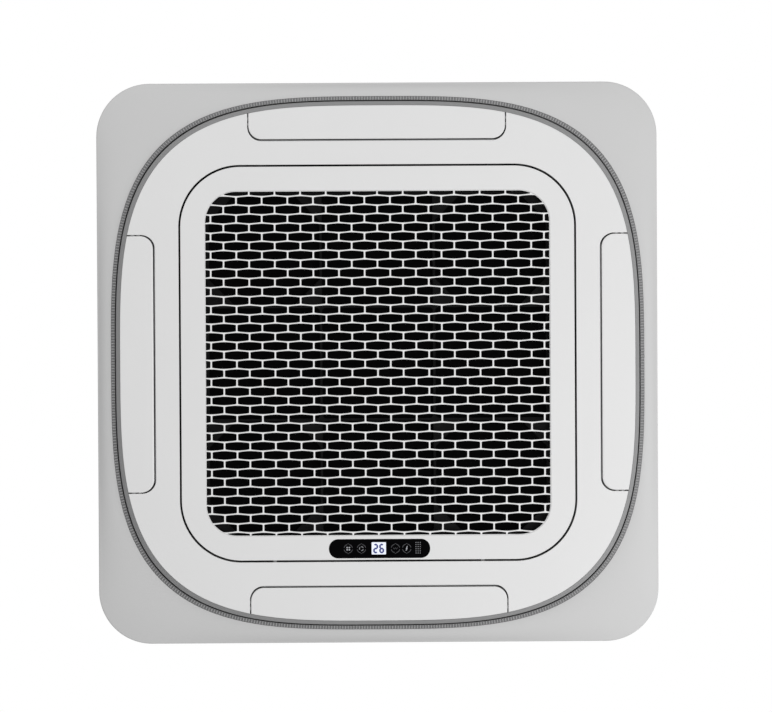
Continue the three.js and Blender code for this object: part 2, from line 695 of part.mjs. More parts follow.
// Duct that leads the air outwards from the body to the louver opening; its ends carry the louver pins
function outletDuct() {
  const wall = MOULDED_WALL;
  const lipZ = faceBackZ + SEAT_GAP;
  const mouthZ = baseZ - SEAT_GAP;
  const loops = [
    [notchInner, ductLip - wall, notchHalfLength, lipZ],
    [notchInner - DUCT_FLARE, ductLip - wall - DUCT_FLARE, notchHalfLength, ductKneeZ],
    [outletInner, outletOuter, OUTLET_HALF_LENGTH, mouthZ],
  ];
  const inside = loops.map(([x0, x1, half, z]) => ductLoop(x0, x1, half, z));
  const outside = loops.map(([x0, x1, half, z]) => ductLoop(x0 - wall, x1 + wall, half + wall, z));
  const shell = ringSolid([...inside, ...outside.reverse()]);
  const reach = notchHalfLength + 2 * wall;
  const pinHoles = bore(LOUVER_PIN_RADIUS + RUNNING_GAP, -reach, reach, 'y');
  return cut(shell, pinHoles.translate(louverPivot, 0, louverPivotZ));
}

// Blade with its stiffening rib, a lug at each end and the two pins it turns on
function louver() {
  const outline = louverOutline(louverInner, LOUVER_HALF_LENGTH, LOUVER_INNER_CORNER);
  const bevel = EDGE_CHAMFER * 0.8;
  const edge = ringLoop(centreHalf, 0).map((point) => new THREE.Vector2(point.x, point.y));
  const strip = slab(outline, faceZ, faceBackZ, [], bevel);
  const blade = common(strip, slab(edge, faceZ, faceBackZ, [], bevel));
  const ribLength = LOUVER_HALF_LENGTH - LOUVER_INNER_CORNER;
  const ribTop = faceBackZ + LOUVER_RIB_HEIGHT;
  const ribX = louverPivot - FACE_THICKNESS / 2;
  const rib = block(ribX, ribX + FACE_THICKNESS, -ribLength, ribLength, faceBackZ - 1, ribTop);
  const pieces = [blade, rib];
  for (const end of [-1, 1]) {
    const y0 = Math.min(end * LOUVER_HALF_LENGTH, end * (LOUVER_HALF_LENGTH - FACE_THICKNESS));
    const lug = bar(LOUVER_LUG_RADIUS, y0, y0 + FACE_THICKNESS, 'y');
    const stand = block(-LOUVER_LUG_RADIUS, LOUVER_LUG_RADIUS, y0, y0 + FACE_THICKNESS,
      faceBackZ - louverPivotZ - 1, 0);
    const pinStart = end > 0 ? y0 : y0 - LOUVER_PIN_LENGTH;
    const pin = bar(LOUVER_PIN_RADIUS, pinStart, pinStart + LOUVER_PIN_LENGTH + FACE_THICKNESS, 'y');
    pieces.push(join(lug, stand, pin).translate(louverPivot, 0, louverPivotZ));
  }
  return join(...pieces);
}

// Stepper motor at the end of a duct: a flat can with two ears, its output socket below the middle
function louverMotor() {
  const start = notchHalfLength + MOULDED_WALL + SEAT_GAP;
  const end = start + LOUVER_MOTOR_LENGTH;
  const z = louverPivotZ + LOUVER_MOTOR_OFFSET;
  const can = bar(LOUVER_MOTOR_RADIUS, start, end, 'y', 16).translate(louverPivot, 0, z);
  const ear = LOUVER_MOTOR_RADIUS + LOUVER_LUG_RADIUS;
  const ears = block(louverPivot - ear, louverPivot + ear, start, start + SHEET_STEEL,
    z - LOUVER_MOTOR_EAR / 2, z + LOUVER_MOTOR_EAR / 2);
  const side = LOUVER_PLUG_WIDTH / 2;
  const canTop = z + LOUVER_MOTOR_RADIUS;
  const plug = block(louverPivot - side, louverPivot + side, start + LOUVER_PLUG_INSET,
    end - LOUVER_PLUG_HEIGHT, canTop - LOUVER_PLUG_HEIGHT, canTop + LOUVER_PLUG_HEIGHT);
  const pinEnd = LOUVER_HALF_LENGTH + LOUVER_PIN_LENGTH;
  const socket = bore(LOUVER_PIN_RADIUS + RUNNING_GAP, start - 1, pinEnd + RUNNING_GAP, 'y');
  return cut(join(can, ears, plug), socket.translate(louverPivot, 0, louverPivotZ));
}

// ---------------------------------------------------------------------------------------------------------
// Intake grille, filter, display, hinge and catches
// ---------------------------------------------------------------------------------------------------------

// Gooseneck arm of the hinge: from the skirt of the grille over the edge of the panel to the two hinge pins
function hingeArm(x) {
  const half = MOULDED_WALL / 2;
  const width = HINGE_ARM_WIDTH / 2;
  const inner = grilleHalf;
  const outer = grilleHalf - MOULDED_WALL;
  const footZ = faceZ + GRILLE_SKIRT_HEIGHT - 1;
  const throatZ = hingeZ + HINGE_THROAT;
  const topZ = throatZ + MOULDED_WALL;
  const profile = [
    [hingeY + half, hingeZ], [hingeY + half, topZ], [outer + HINGE_ARM_CORNER, topZ],
    [outer, topZ - HINGE_ARM_CORNER], [outer, footZ], [inner, footZ], [inner, throatZ],
    [hingeY - half, throatZ], [hingeY - half, hingeZ],
  ];
  const arm = sideways(profile, x - width, x + width);
  const knuckle = bar(hingeEye, x - width, x + width, 'x', 12).translate(0, hingeY, hingeZ);
  const reach = width + HINGE_PIN_LENGTH;
  const pins = bar(HINGE_PIN_RADIUS, x - reach, x + reach, 'x').translate(0, hingeY, hingeZ);
  return join(arm, knuckle, pins);
}

// Frame of the grille: a flat border between two upstands, with a window for the display and two hinge arms
function grilleFrame() {
  const half = EDGE_CHAMFER / 2;
  const wall = MOULDED_WALL;
  const skirtTop = faceZ + GRILLE_SKIRT_HEIGHT;
  const border = ringSolid([
    squareLoop(grilleHalf - half, GRILLE_CORNER, faceZ),
    squareLoop(grilleHalf, GRILLE_CORNER, faceZ + half),
    squareLoop(grilleHalf, GRILLE_CORNER, skirtTop),
    squareLoop(grilleHalf - wall, GRILLE_CORNER - wall, skirtTop),
    squareLoop(grilleHalf - wall, GRILLE_CORNER - wall, faceBackZ),
    squareLoop(openingHalf + wall, OPENING_CORNER + wall, faceBackZ),
    squareLoop(openingHalf + wall, OPENING_CORNER + wall, grilleWallTopZ),
    squareLoop(openingHalf, OPENING_CORNER, grilleWallTopZ),
    squareLoop(openingHalf, OPENING_CORNER, faceZ + half),
    squareLoop(openingHalf + half, OPENING_CORNER, faceZ),
  ]);
  const window = slab(displayOutline(SEAT_GAP), faceZ - 1, faceBackZ + 1);
  return join(cut(border, window), hingeArm(-hingeX), hingeArm(hingeX));
}

// One cell of the honeycomb: a wide hexagon with upright ends and a shallow gable above and below
function cell(x, y) {
  const web = WEB_THICKNESS / 2;
  const side = CELL_PITCH / 2 - web;
  const shoulder = (ROW_PITCH - CELL_RISE) / 2 - web;
  const gable = (ROW_PITCH + CELL_RISE) / 2 - web;
  const corners = [[side, -shoulder], [side, shoulder], [0, gable], [-side, shoulder], [-side, -shoulder],
    [0, -gable]];
  return corners.map(([dx, dy]) => new THREE.Vector2(x + dx, y + dy));
}

// The part of a convex polygon that lies inside a convex outline, both drawn counter-clockwise
function clipped(polygon, outline) {
  let inside = polygon;
  outline.forEach((from, i) => {
    const to = outline[(i + 1) % outline.length];
    const normal = new THREE.Vector2(from.y - to.y, to.x - from.x);
    const depth = (point) => normal.dot(point.clone().sub(from));
    const kept = [];
    inside.forEach((point, j) => {
      const next = inside[(j + 1) % inside.length];
      const here = depth(point);
      const there = depth(next);
      if (here >= 0) kept.push(point);
      if (here * there < 0) kept.push(point.clone().lerp(next, here / (here - there)));
    });
    inside = kept;
  });
  return inside.filter((point, i) => point.distanceTo(inside[(i + 1) % inside.length]) > SEAT_GAP);
}

// Honeycomb: rows of cells, each row half a cell along from the last, cut off by the round-cornered opening
function honeycombGrille() {
  const half = openingHalf - SEAT_GAP;
  const outline = squareLoop(half, OPENING_CORNER - SEAT_GAP);
  const limit = roundedSquare(half - EDGE_WEB, OPENING_CORNER - SEAT_GAP - EDGE_WEB, 6);
  const rows = Math.ceil(half / ROW_PITCH);
  const columns = Math.ceil(half / CELL_PITCH);
  const holes = [];
  for (let row = -rows; row <= rows; row += 1) {
    const shift = row % 2 === 0 ? 0 : CELL_PITCH / 2;
    for (let column = -columns - 1; column <= columns; column += 1) {
      const hole = clipped(cell(column * CELL_PITCH + shift, row * ROW_PITCH), limit);
      const bounds = new THREE.Box2().setFromPoints(hole);
      const size = bounds.getSize(new THREE.Vector2());
      if (hole.length > 2 && Math.min(size.x, size.y) > WEB_THICKNESS) holes.push(hole);
    }
  }
  const z = faceZ + HONEYCOMB_RECESS;
  const top = z + HONEYCOMB_DEPTH;
  const cores = mergeGeometries(holes.map((hole) => slab(hole, z - 1, top + 1)));
  return cut(slab(outline, z, top), cores);
}

// Filter frame: a flat lattice that lies on the upstand round the honeycomb
function filterFrame() {
  const half = openingHalf + MOULDED_WALL;
  const bay = (2 * (half - FILTER_RAIL) - (FILTER_BAYS - 1) * FILTER_BAR) / FILTER_BAYS;
  const holes = [];
  for (let i = 0; i < FILTER_BAYS; i += 1) {
    for (let j = 0; j < FILTER_BAYS; j += 1) {
      const x = -half + FILTER_RAIL + i * (bay + FILTER_BAR);
      const y = -half + FILTER_RAIL + j * (bay + FILTER_BAR);
      const corner = [0, FILTER_BAYS - 1].includes(i) && [0, FILTER_BAYS - 1].includes(j);
      const radius = corner ? OPENING_CORNER - FILTER_RAIL : FILTER_BAR;
      holes.push(roundedRectangle(x, x + bay, y, y + bay, radius, 1));
    }
  }
  const outline = roundedSquare(half, OPENING_CORNER + MOULDED_WALL);
  return slab(outline, filterZ, filterZ + FILTER_THICKNESS, holes);
}

function filterMesh() {
  const half = openingHalf + MOULDED_WALL - FILTER_RAIL / 2;
  const z = filterZ + FILTER_THICKNESS + SEAT_GAP;
  return slab(roundedSquare(half, OPENING_CORNER), z, z + FILTER_MESH_THICKNESS);
}

// Outline of the display, wider all round by an allowance
function displayOutline(allowance) {
  const y = grilleHalf - DISPLAY_INSET;
  const across = DISPLAY_HEIGHT / 2 + allowance;
  const along = DISPLAY_LENGTH / 2 + allowance;
  return roundedRectangle(DISPLAY_X - along, DISPLAY_X + along, y - across, y + across, across * 0.96, 5);
}

function displayLens() {
  return slab(displayOutline(0), faceZ - DISPLAY_PROUD, faceBackZ, [], DISPLAY_PROUD / 2);
}

function displayBoard() {
  const y = grilleHalf - DISPLAY_INSET;
  const z = faceBackZ + SEAT_GAP;
  const top = z + BOARD_THICKNESS;
  const along = DISPLAY_LENGTH / 2 + BOARD_MARGIN;
  const across = DISPLAY_HEIGHT / 2 + 1;
  const outline = roundedRectangle(DISPLAY_X - along, DISPLAY_X + along, y - across, y + across, 2, 1);
  const board = slab(outline, z, top);
  const part = (x, length, width, height) => block(DISPLAY_X + x - length / 2, DISPLAY_X + x + length / 2,
    y - width / 2, y + width / 2, top - 1, top + height);
  const chip = part(0, CHIP_LENGTH, CHIP_WIDTH, CHIP_HEIGHT);
  const socket = part(SOCKET_X, SOCKET_LENGTH, SOCKET_WIDTH, SOCKET_HEIGHT);
  return join(board, chip, socket);
}

// Hinge bracket: a plate behind the upstand of the centre panel, with a cheek on each side of the hinge arm
function hingeBracket(x) {
  const y0 = grilleHoleHalf + MOULDED_WALL + SEAT_GAP;
  const y1 = y0 + HINGE_CHEEK;
  const bottom = hingeZ - hingeEye;
  const half = hingeSlotHalf + HINGE_PLATE_MARGIN;
  const plate = block(x - half, x + half, y0, y1, bottom, hingeSlotTopZ + HINGE_PLATE_MARGIN);
  const opening = block(x - hingeSlotHalf, x + hingeSlotHalf, y0 - 1, y1 + 1, bottom - 1, hingeSlotTopZ);
  const cheeks = [-1, 1].map((end) => {
    const near = x + end * hingeSlotHalf;
    const far = near + end * HINGE_CHEEK;
    return block(Math.min(near, far), Math.max(near, far), y0, hingeY + hingeEye, bottom,
      hingeZ + 2 * hingeEye);
  });
  const reach = hingeSlotHalf + HINGE_CHEEK + 1;
  const pinHole = bore(HINGE_PIN_RADIUS + RUNNING_GAP, x - reach, x + reach, 'x');
  return cut(join(cut(plate, opening), ...cheeks), pinHole.translate(0, hingeY, hingeZ));
}

// Catch: a housing on the upstand of the centre panel, with a sprung plunger behind the edge of the grille
function catchHousing(x) {
  const wallY = -(grilleHoleHalf - SEAT_GAP);
  const front = catchY + PLUNGER_RADIUS + RUNNING_GAP + CATCH_WALL;
  const body = block(x - CATCH_WIDTH / 2, x + CATCH_WIDTH / 2, wallY, front, catchZ, catchTopZ);
  const guide = bore(PLUNGER_RADIUS + RUNNING_GAP, catchZ - 1, catchTopZ + 1);
  return cut(body, guide.translate(x, catchY, 0));
}

function catchPlunger() {
  const collarZ = catchTopZ + SEAT_GAP;
  const stem = bar(PLUNGER_RADIUS, faceBackZ + SEAT_GAP, collarZ + PLUNGER_COLLAR);
  const collar = bar(PLUNGER_RADIUS + PLUNGER_COLLAR, collarZ, collarZ + PLUNGER_COLLAR);
  return join(stem, collar);
}

// ---------------------------------------------------------------------------------------------------------
// Body above the ceiling
// ---------------------------------------------------------------------------------------------------------

// Folded steel casing, open at top and bottom, with a window for the pipes and a hole for the drain
function casingWall() {
  const inner = chamferedSquare(casingInner, BODY_CHAMFER);
  const shell = slab(chamferedSquare(bodyHalf, BODY_CHAMFER), BODY_LIFT, bodyTopZ, [inner]);
  const window = block(casingInner - 1, bodyHalf + 1, pipeRowY - pipeWindow, pipeRowY + pipeWindow,
    GAS_PIPE_Z - pipeWindow, LIQUID_PIPE_Z + pipeWindow);
  const drain = bore(DRAIN_HOSE_RADIUS + 1, -bodyHalf - 1, -casingInner + 1, 'y');
  return cut(shell, window, drain.translate(pumpX, 0, DRAIN_Z));
}

// Top cover: a tray turned down over the casing, stiffened by pressed ribs and a raised pad for the motor
function topCover() {
  const half = bodyHalf + SEAT_GAP + SHEET_STEEL;
  const z = bodyTopZ + SEAT_GAP;
  const top = slab(chamferedSquare(half, BODY_CHAMFER), z, z + SHEET_STEEL);
  const rim = slab(chamferedSquare(half, BODY_CHAMFER), bodyTopZ - COVER_RIM, z + 1,
    [chamferedSquare(half - SHEET_STEEL, BODY_CHAMFER)]);
  const padTop = z + SHEET_STEEL + COVER_RIB_HEIGHT;
  const foot = COVER_PAD_RADIUS + COVER_PAD_SLOPE;
  const pad = turned([[0, z + 1], [foot, z + 1], [COVER_PAD_RADIUS, padTop], [0, padTop]]);
  const side = COVER_RIB_WIDTH / 2;
  const rib = slab(roundedRectangle(COVER_RIB_START, bodyHalf - COVER_RIB_EDGE, -side, side,
    side - COVER_PAD_SLOPE / 2, 1), z + 1, padTop);
  const ribs = [45, 135, 225, 315].map((angle) => turn(rib, angle));
  return join(top, rim, pad, ...ribs);
}

// Foam lining: an open-bottomed tray inside the casing, bored for the pipes, the drain and the motor's feet
function foamLiner() {
  const outer = slab(chamferedSquare(linerOuter, BODY_CHAMFER), BODY_LIFT, linerTopZ);
  const hollow = slab(chamferedSquare(linerInner, linerChamfer), BODY_LIFT - 1, linerRoofZ);
  const tools = [hollow];
  for (const [radius, z] of [[GAS_PIPE_RADIUS, GAS_PIPE_Z], [LIQUID_PIPE_RADIUS, LIQUID_PIPE_Z]]) {
    tools.push(bore(radius + SEAT_GAP, linerInner - 1, linerOuter + 1, 'x').translate(0, pipeRowY, z));
  }
  const drain = bore(DRAIN_HOSE_RADIUS + SEAT_GAP, -linerOuter - 1, -linerInner + 1, 'y');
  tools.push(drain.translate(pumpX, 0, DRAIN_Z));
  for (const [x, y] of motorFeet()) {
    tools.push(bore(MOTOR_FOOT_RADIUS + SEAT_GAP, linerRoofZ - 1, linerTopZ + 1).translate(x, y, 0));
  }
  return cut(outer, ...tools);
}

// Drain pan: foam moulding with the trough under the coil, a sump, four air outlets and the intake opening
function drainPan() {
  const body = slab(chamferedSquare(panHalf, linerChamfer), BODY_LIFT, panTopZ,
    [roundedSquare(panOpening, PAN_OPENING_CORNER)]);
  const troughOuter = coilHalf + TROUGH_CLEARANCE;
  const troughInner = coilInner - TROUGH_CLEARANCE;
  const trough = slab(roundedSquare(troughOuter, COIL_CORNER), troughZ, panTopZ + 1,
    [roundedSquare(troughInner, COIL_CORNER - COIL_THICKNESS)]);
  const half = PUMP_RADIUS + SUMP_MARGIN;
  const sump = slab(roundedRectangle(pumpX - half, pumpX + FLOAT_OFFSET + FLOAT_RADIUS + SUMP_MARGIN / 2,
    pumpY - half, pumpY + half, SUMP_MARGIN, 3), sumpZ, panTopZ + 1);
  const outlet = slab(ductMouth(), BODY_LIFT - 1, panTopZ + 1);
  return cut(body, trough, sump, ...Object.values(sides).map((side) => turn(outlet, side)));
}

// Bellmouth: a square plate in the pan opening that curves up into the throat of the fan
function bellmouth() {
  const skin = MOULDED_WALL;
  const outline = roundedSquare(panOpening - SEAT_GAP, PAN_OPENING_CORNER - SEAT_GAP);
  const plate = slab(outline, bellPlateZ, bellPlateZ + skin);
  const throat = bar(BELL_LIP_RADIUS - 1, bellPlateZ - 1, bellPlateZ + skin + 1, 'z', 24);
  const lower = flare(BELL_LIP_RADIUS, bellPlateZ, THROAT_RADIUS, bellTopZ);
  const upper = flare(BELL_LIP_RADIUS + skin, bellPlateZ + skin, THROAT_RADIUS + skin, bellTopZ);
  const section = [...lower, ...upper.reverse(), [BELL_LIP_RADIUS + skin, bellPlateZ]];
  return join(cut(plate, throat), turned(section));
}

// Quarter curve from a flat lip at one radius and height to an upright one at another
function flare(lipRadius, lipZ, throatRadius, throatZ, steps = 4) {
  const points = [];
  const curve = new THREE.QuadraticBezierCurve(new THREE.Vector2(lipRadius, lipZ),
    new THREE.Vector2(throatRadius, lipZ), new THREE.Vector2(throatRadius, throatZ));
  for (const point of curve.getPoints(steps)) points.push([point.x, point.y]);
  return points;
}

// ---------------------------------------------------------------------------------------------------------
// Fan and its motor
// ---------------------------------------------------------------------------------------------------------

function motorFeet() {
  return Array.from({ length: MOTOR_FEET }, (_, i) => {
    const angle = (i + 0.5) * 2 * Math.PI / MOTOR_FEET;
    return [MOTOR_FOOT_CIRCLE * Math.cos(angle), MOTOR_FOOT_CIRCLE * Math.sin(angle)];
  });
}

// Motor: a drum with a blind bore for the shaft, hung from the top cover by its flange and feet
function fanMotor() {
  const shaftHole = SHAFT_RADIUS + RUNNING_GAP;
  const flange = MOTOR_FOOT_CIRCLE + MOTOR_FOOT_RADIUS + 2;
  const under = motorTopZ - MOTOR_FLANGE;
  const drum = turned([
    [0, motorTopZ], [flange, motorTopZ], [flange, under], [MOTOR_RADIUS, under],
    [MOTOR_RADIUS, motorZ + MOTOR_END], [MOTOR_RADIUS - MOTOR_END, motorZ], [shaftHole, motorZ],
    [shaftHole, motorTopZ - MOTOR_END], [0, motorTopZ - MOTOR_END],
  ], 20);
  const feet = motorFeet().map(([x, y]) => bar(MOTOR_FOOT_RADIUS, motorTopZ - 1, bodyTopZ)
    .translate(x, y, 0));
  return join(drum, ...feet);
}

// Turbo fan: a back plate with a cone round the motor, backward-curved blades and the inlet shroud
function fanWheel() {
  const skin = FAN_SKIN;
  const shaftHole = SHAFT_RADIUS + SEAT_GAP;
  const cone = HUB_CONE_RADIUS;
  const coneTop = cone + HUB_FLARE;
  const back = turned([
    [shaftHole, hubZ - HUB_BOSS], [HUB_BOSS_RADIUS - 2, hubZ - HUB_BOSS], [HUB_BOSS_RADIUS, hubZ],
    [cone, hubZ], [cone + skin, hubZ + skin], [coneTop + skin, fanTopZ - skin], [FAN_RADIUS, fanTopZ - skin],
    [FAN_RADIUS, fanTopZ], [coneTop, fanTopZ], [cone, hubZ + skin + 1], [cone - 1, hubZ + skin],
    [shaftHole, hubZ + skin],
  ]);
  const inner = flare(FAN_RADIUS, shroudRimZ, fanInlet, fanZ);
  const outer = flare(FAN_RADIUS, shroudRimZ - skin, fanInlet + skin, fanZ);
  const shroud = turned([...inner, ...outer.reverse()]);
  const tip = FAN_RADIUS - BLADE_TIP_INSET;
  const middle = flare(tip, shroudRimZ - skin / 2, fanInlet + skin / 2, fanZ);
  const upper = middle.slice(0, -2);
  const envelope = turned([...upper, [BLADE_INNER_RADIUS, fanZ + BLADE_INNER_LIFT],
    [BLADE_INNER_RADIUS, fanTopZ - skin / 2], [tip, fanTopZ - skin / 2]]);
  const blade = slab(bladeOutline(), fanZ, fanTopZ);
  const step = 360 / FAN_BLADES;
  const blades = Array.from({ length: FAN_BLADES }, (_, i) => common(turn(blade, i * step), envelope));
  return join(back, shroud, ...blades);
}

// Plan of a blade: a curved strip that trails behind its inner end and tapers to its tip
function bladeOutline() {
  const steps = 4;
  const leading = [];
  const trailing = [];
  for (let step = 0; step <= steps; step += 1) {
    const t = step / steps;
    const radius = THREE.MathUtils.lerp(BLADE_INNER_RADIUS - 1, FAN_RADIUS, t);
    const angle = -THREE.MathUtils.degToRad(BLADE_SWEEP) * t ** BLADE_CURVE;
    const half = (BLADE_THICKNESS / 2) * (1 - BLADE_TAPER * t) / radius;
    leading.push(new THREE.Vector2(radius * Math.cos(angle + half), radius * Math.sin(angle + half)));
    trailing.push(new THREE.Vector2(radius * Math.cos(angle - half), radius * Math.sin(angle - half)));
  }
  return [...trailing, ...leading.reverse()];
}

function fanShaft() {
  const end = hubZ - HUB_BOSS - HUB_NUT_HEIGHT - SHAFT_END;
  return bar(SHAFT_RADIUS, end, motorTopZ - MOTOR_END - RUNNING_GAP);
}

function hubNut() {
  const z = hubZ - HUB_BOSS - SEAT_GAP;
  return hexNut(SHAFT_RADIUS + SEAT_GAP + HUB_NUT_WALL, HUB_NUT_WALL, z - HUB_NUT_HEIGHT, z);
}

// Six-sided nut along Z
function hexNut(radius, wall, z0, z1) {
  const nut = bar(radius, z0, z1, 'z', 6);
  return cut(nut, bore(radius - wall, z0 - 1, z1 + 1));
}

// ---------------------------------------------------------------------------------------------------------
// Coil and refrigerant pipes
// ---------------------------------------------------------------------------------------------------------

// Finned coil: a block bent round the fan, open at the pipe corner
function heatExchanger() {
  const ring = slab(roundedSquare(coilHalf, COIL_CORNER, 6), coilZ, coilTopZ,
    [roundedSquare(coilInner, COIL_CORNER - COIL_THICKNESS, 6)]);
  const corner = block(coilEnd, coilHalf + 1, -coilHalf - 1, -coilEnd, coilZ - 1, coilTopZ + 1);
  return cut(ring, corner);
}

// Bent plate that closes the gap between the two ends of the coil
function coilEndPlate() {
  const near = coilEnd + SEAT_GAP;
  const far = near + SHEET_STEEL;
  const bend = coilInner - 2;
  const outline = [
    [coilHalf, -near], [bend, -near], [near, -bend], [near, -coilHalf],
    [far, -coilHalf], [far, -bend - SHEET_STEEL / 2], [bend + SHEET_STEEL / 2, -far], [coilHalf, -far],
  ];
  return slab(outline.map(([x, y]) => new THREE.Vector2(x, y)), panTopZ + SEAT_GAP, coilTopZ);
}

// Refrigerant pipe from the end of the coil, through one bend, to its flare end outside the casing
function coilPipe(radius, z) {
  const x = coilHalf - COIL_THICKNESS / 2;
  const start = -(coilEnd + SHEET_STEEL + 2 * SEAT_GAP);
  const bendStart = new THREE.Vector3(x, pipeRowY + PIPE_BEND_RADIUS, z);
  const bendEnd = new THREE.Vector3(x + PIPE_BEND_RADIUS, pipeRowY, z);
  const path = new THREE.CurvePath();
  path.add(new THREE.LineCurve3(new THREE.Vector3(x, start, z), bendStart));
  path.add(new THREE.QuadraticBezierCurve3(bendStart, new THREE.Vector3(x, pipeRowY, z), bendEnd));
  path.add(new THREE.LineCurve3(bendEnd, new THREE.Vector3(pipeEnd, pipeRowY, z)));
  return tube(path, radius, 8, 12);
}

// Flare nut on the end of a pipe
function flareNut(pipeRadius, z) {
  const nut = hexNut(pipeRadius + SEAT_GAP + FLARE_NUT_WALL, FLARE_NUT_WALL, 0, FLARE_NUT_LENGTH);
  return nut.rotateY(Math.PI / 2).translate(pipeEnd - FLARE_NUT_LENGTH, pipeRowY, z);
}

// Steel plate over the pipe window of the casing, with a collared hole for each pipe
function pipeCover() {
  const reach = pipeWindow + PIPE_COVER_MARGIN;
  const plate = block(bodyHalf + SEAT_GAP, bodyHalf + SEAT_GAP + SHEET_STEEL, pipeRowY - reach,
    pipeRowY + reach, GAS_PIPE_Z - reach, LIQUID_PIPE_Z + reach);
  const pipes = [[GAS_PIPE_RADIUS, GAS_PIPE_Z], [LIQUID_PIPE_RADIUS, LIQUID_PIPE_Z]];
  const bores = pipes.map(([radius, z]) => {
    const hole = bore(radius + SEAT_GAP, bodyHalf - 1, bodyHalf + SHEET_STEEL + 2, 'x');
    return hole.translate(0, pipeRowY, z);
  });
  return cut(plate, ...bores);
}

// ---------------------------------------------------------------------------------------------------------
// Condensate pump in the pipe corner
// ---------------------------------------------------------------------------------------------------------

// Pump: inlet, impeller chamber and motor in one moulding, open at the inlet
function drainPump() {
  const wall = PUMP_WALL;
  const chamberTop = pumpZ + PUMP_CHAMBER_HEIGHT;
  const shaftHole = IMPELLER_SHAFT_RADIUS + RUNNING_GAP;
  const shaftTop = impellerTopZ + RUNNING_GAP;
  const inletZ = pumpZ - PUMP_INLET_LENGTH;
  const body = turned([
    [0, pumpTopZ], [PUMP_MOTOR_RADIUS, pumpTopZ], [PUMP_MOTOR_RADIUS, chamberTop],
    [PUMP_RADIUS, chamberTop], [PUMP_RADIUS, pumpZ], [PUMP_INLET_RADIUS + wall, pumpZ],
    [PUMP_INLET_RADIUS + wall, inletZ], [PUMP_INLET_RADIUS, inletZ], [PUMP_INLET_RADIUS, pumpZ + wall],
    [PUMP_RADIUS - wall, pumpZ + wall], [PUMP_RADIUS - wall, chamberTop - wall],
    [shaftHole, chamberTop - wall], [shaftHole, shaftTop], [0, shaftTop],
  ], 16);
  return body.translate(pumpX, pumpY, 0);
}

// Impeller: a disc with four straight vanes on its shaft
function pumpImpeller() {
  const z = pumpZ + PUMP_WALL + 2;
  const disc = bar(IMPELLER_RADIUS, z, z + 2);
  const shaft = bar(IMPELLER_SHAFT_RADIUS, z, impellerTopZ);
  const half = IMPELLER_VANE / 2;
  const vane = block(IMPELLER_SHAFT_RADIUS - 1, IMPELLER_RADIUS, -half, half, z + 1, z + IMPELLER_HEIGHT);
  const vanes = [0, 90, 180, 270].map((angle) => turn(vane, angle));
  return join(disc, shaft, ...vanes).translate(pumpX, pumpY, 0);
}

// Bracket: a shelf over pump and float switch, folded up to the roof of the lining
function pumpBracket() {
  const z = pumpTopZ + SEAT_GAP;
  const x0 = pumpX - PUMP_RADIUS;
  const x1 = pumpX + FLOAT_OFFSET + FLOAT_RADIUS;
  const y0 = pumpY - PUMP_MOTOR_RADIUS;
  const y1 = pumpY + PUMP_MOTOR_RADIUS;
  const roof = linerRoofZ - SEAT_GAP;
  const shelf = block(x0, x1, y0, y1, z, z + SHEET_STEEL);
  const web = block(x0, x0 + SHEET_STEEL, y0, y1, z, roof);
  const tab = block(x0 - PUMP_TAB, x0 + SHEET_STEEL, y0, y1, roof - SHEET_STEEL, roof);
  const stemHole = bore(FLOAT_STEM_RADIUS + SEAT_GAP, z - 1, z + SHEET_STEEL + 1);
  return cut(join(shelf, web, tab), stemHole.translate(pumpX + FLOAT_OFFSET, pumpY, 0));
}

// Float switch: a stem hung in the shelf by its head, with a stop at its foot
function floatStem() {
  const head = pumpTopZ + 2 * SEAT_GAP + SHEET_STEEL;
  const stem = bar(FLOAT_STEM_RADIUS, floatStopZ - FLOAT_STOP, head + 1);
  const stop = bar(2 * FLOAT_STEM_RADIUS, floatStopZ - FLOAT_STOP, floatStopZ);
  const cap = bar(FLOAT_CAP_RADIUS, head, head + FLOAT_CAP_HEIGHT, 'z', 6);
  return join(stem, stop, cap).translate(pumpX + FLOAT_OFFSET, pumpY, 0);
}

function floatRing() {
  const z = floatStopZ + SEAT_GAP;
  const ring = bar(FLOAT_RADIUS, z, z + FLOAT_HEIGHT);
  const stemHole = bore(FLOAT_STEM_RADIUS + RUNNING_GAP, z - 1, z + FLOAT_HEIGHT + 1);
  return cut(ring, stemHole).translate(pumpX + FLOAT_OFFSET, pumpY, 0);
}

// Drain hose: from the side of the pump up to the outlet in the casing wall
function drainHose() {
  const y = pumpY - PUMP_RADIUS - SEAT_GAP;
  const rise = (y - linerInner) / 2;
  const start = pumpZ + PUMP_CHAMBER_HEIGHT - DRAIN_HOSE_RADIUS - 2;
  const at = (dy, z) => new THREE.Vector3(pumpX, dy, z);
  const path = new THREE.CurvePath();
  const bend = Math.abs(rise - y);
  path.add(new THREE.QuadraticBezierCurve3(at(y, start), at(rise, start), at(rise, start + bend)));
  path.add(new THREE.LineCurve3(at(rise, start + bend), at(rise, DRAIN_Z - bend)));
  const last = at(rise - bend, DRAIN_Z);
  path.add(new THREE.QuadraticBezierCurve3(at(rise, DRAIN_Z - bend), at(rise, DRAIN_Z), last));
  path.add(new THREE.LineCurve3(last, at(-bodyHalf - DRAIN_REACH, DRAIN_Z)));
  return tube(path, DRAIN_HOSE_RADIUS, 8, 16);
}

// ---------------------------------------------------------------------------------------------------------
// Electrical box under the bellmouth, beside the display
// ---------------------------------------------------------------------------------------------------------

function controlBox() {
  const x = CONTROL_BOX_LENGTH / 2;
  const y = CONTROL_BOX_WIDTH / 2;
  const z = controlBoxTopZ - CONTROL_BOX_HEIGHT;
  const skin = SHEET_STEEL;
  const shell = block(-x, x, -y, y, z, controlBoxTopZ);
  const hollow = block(-x + skin, x - skin, -y + skin, y - skin, z - 1, controlBoxTopZ - skin);
  return cut(shell, hollow).translate(0, controlBoxY, 0);
}

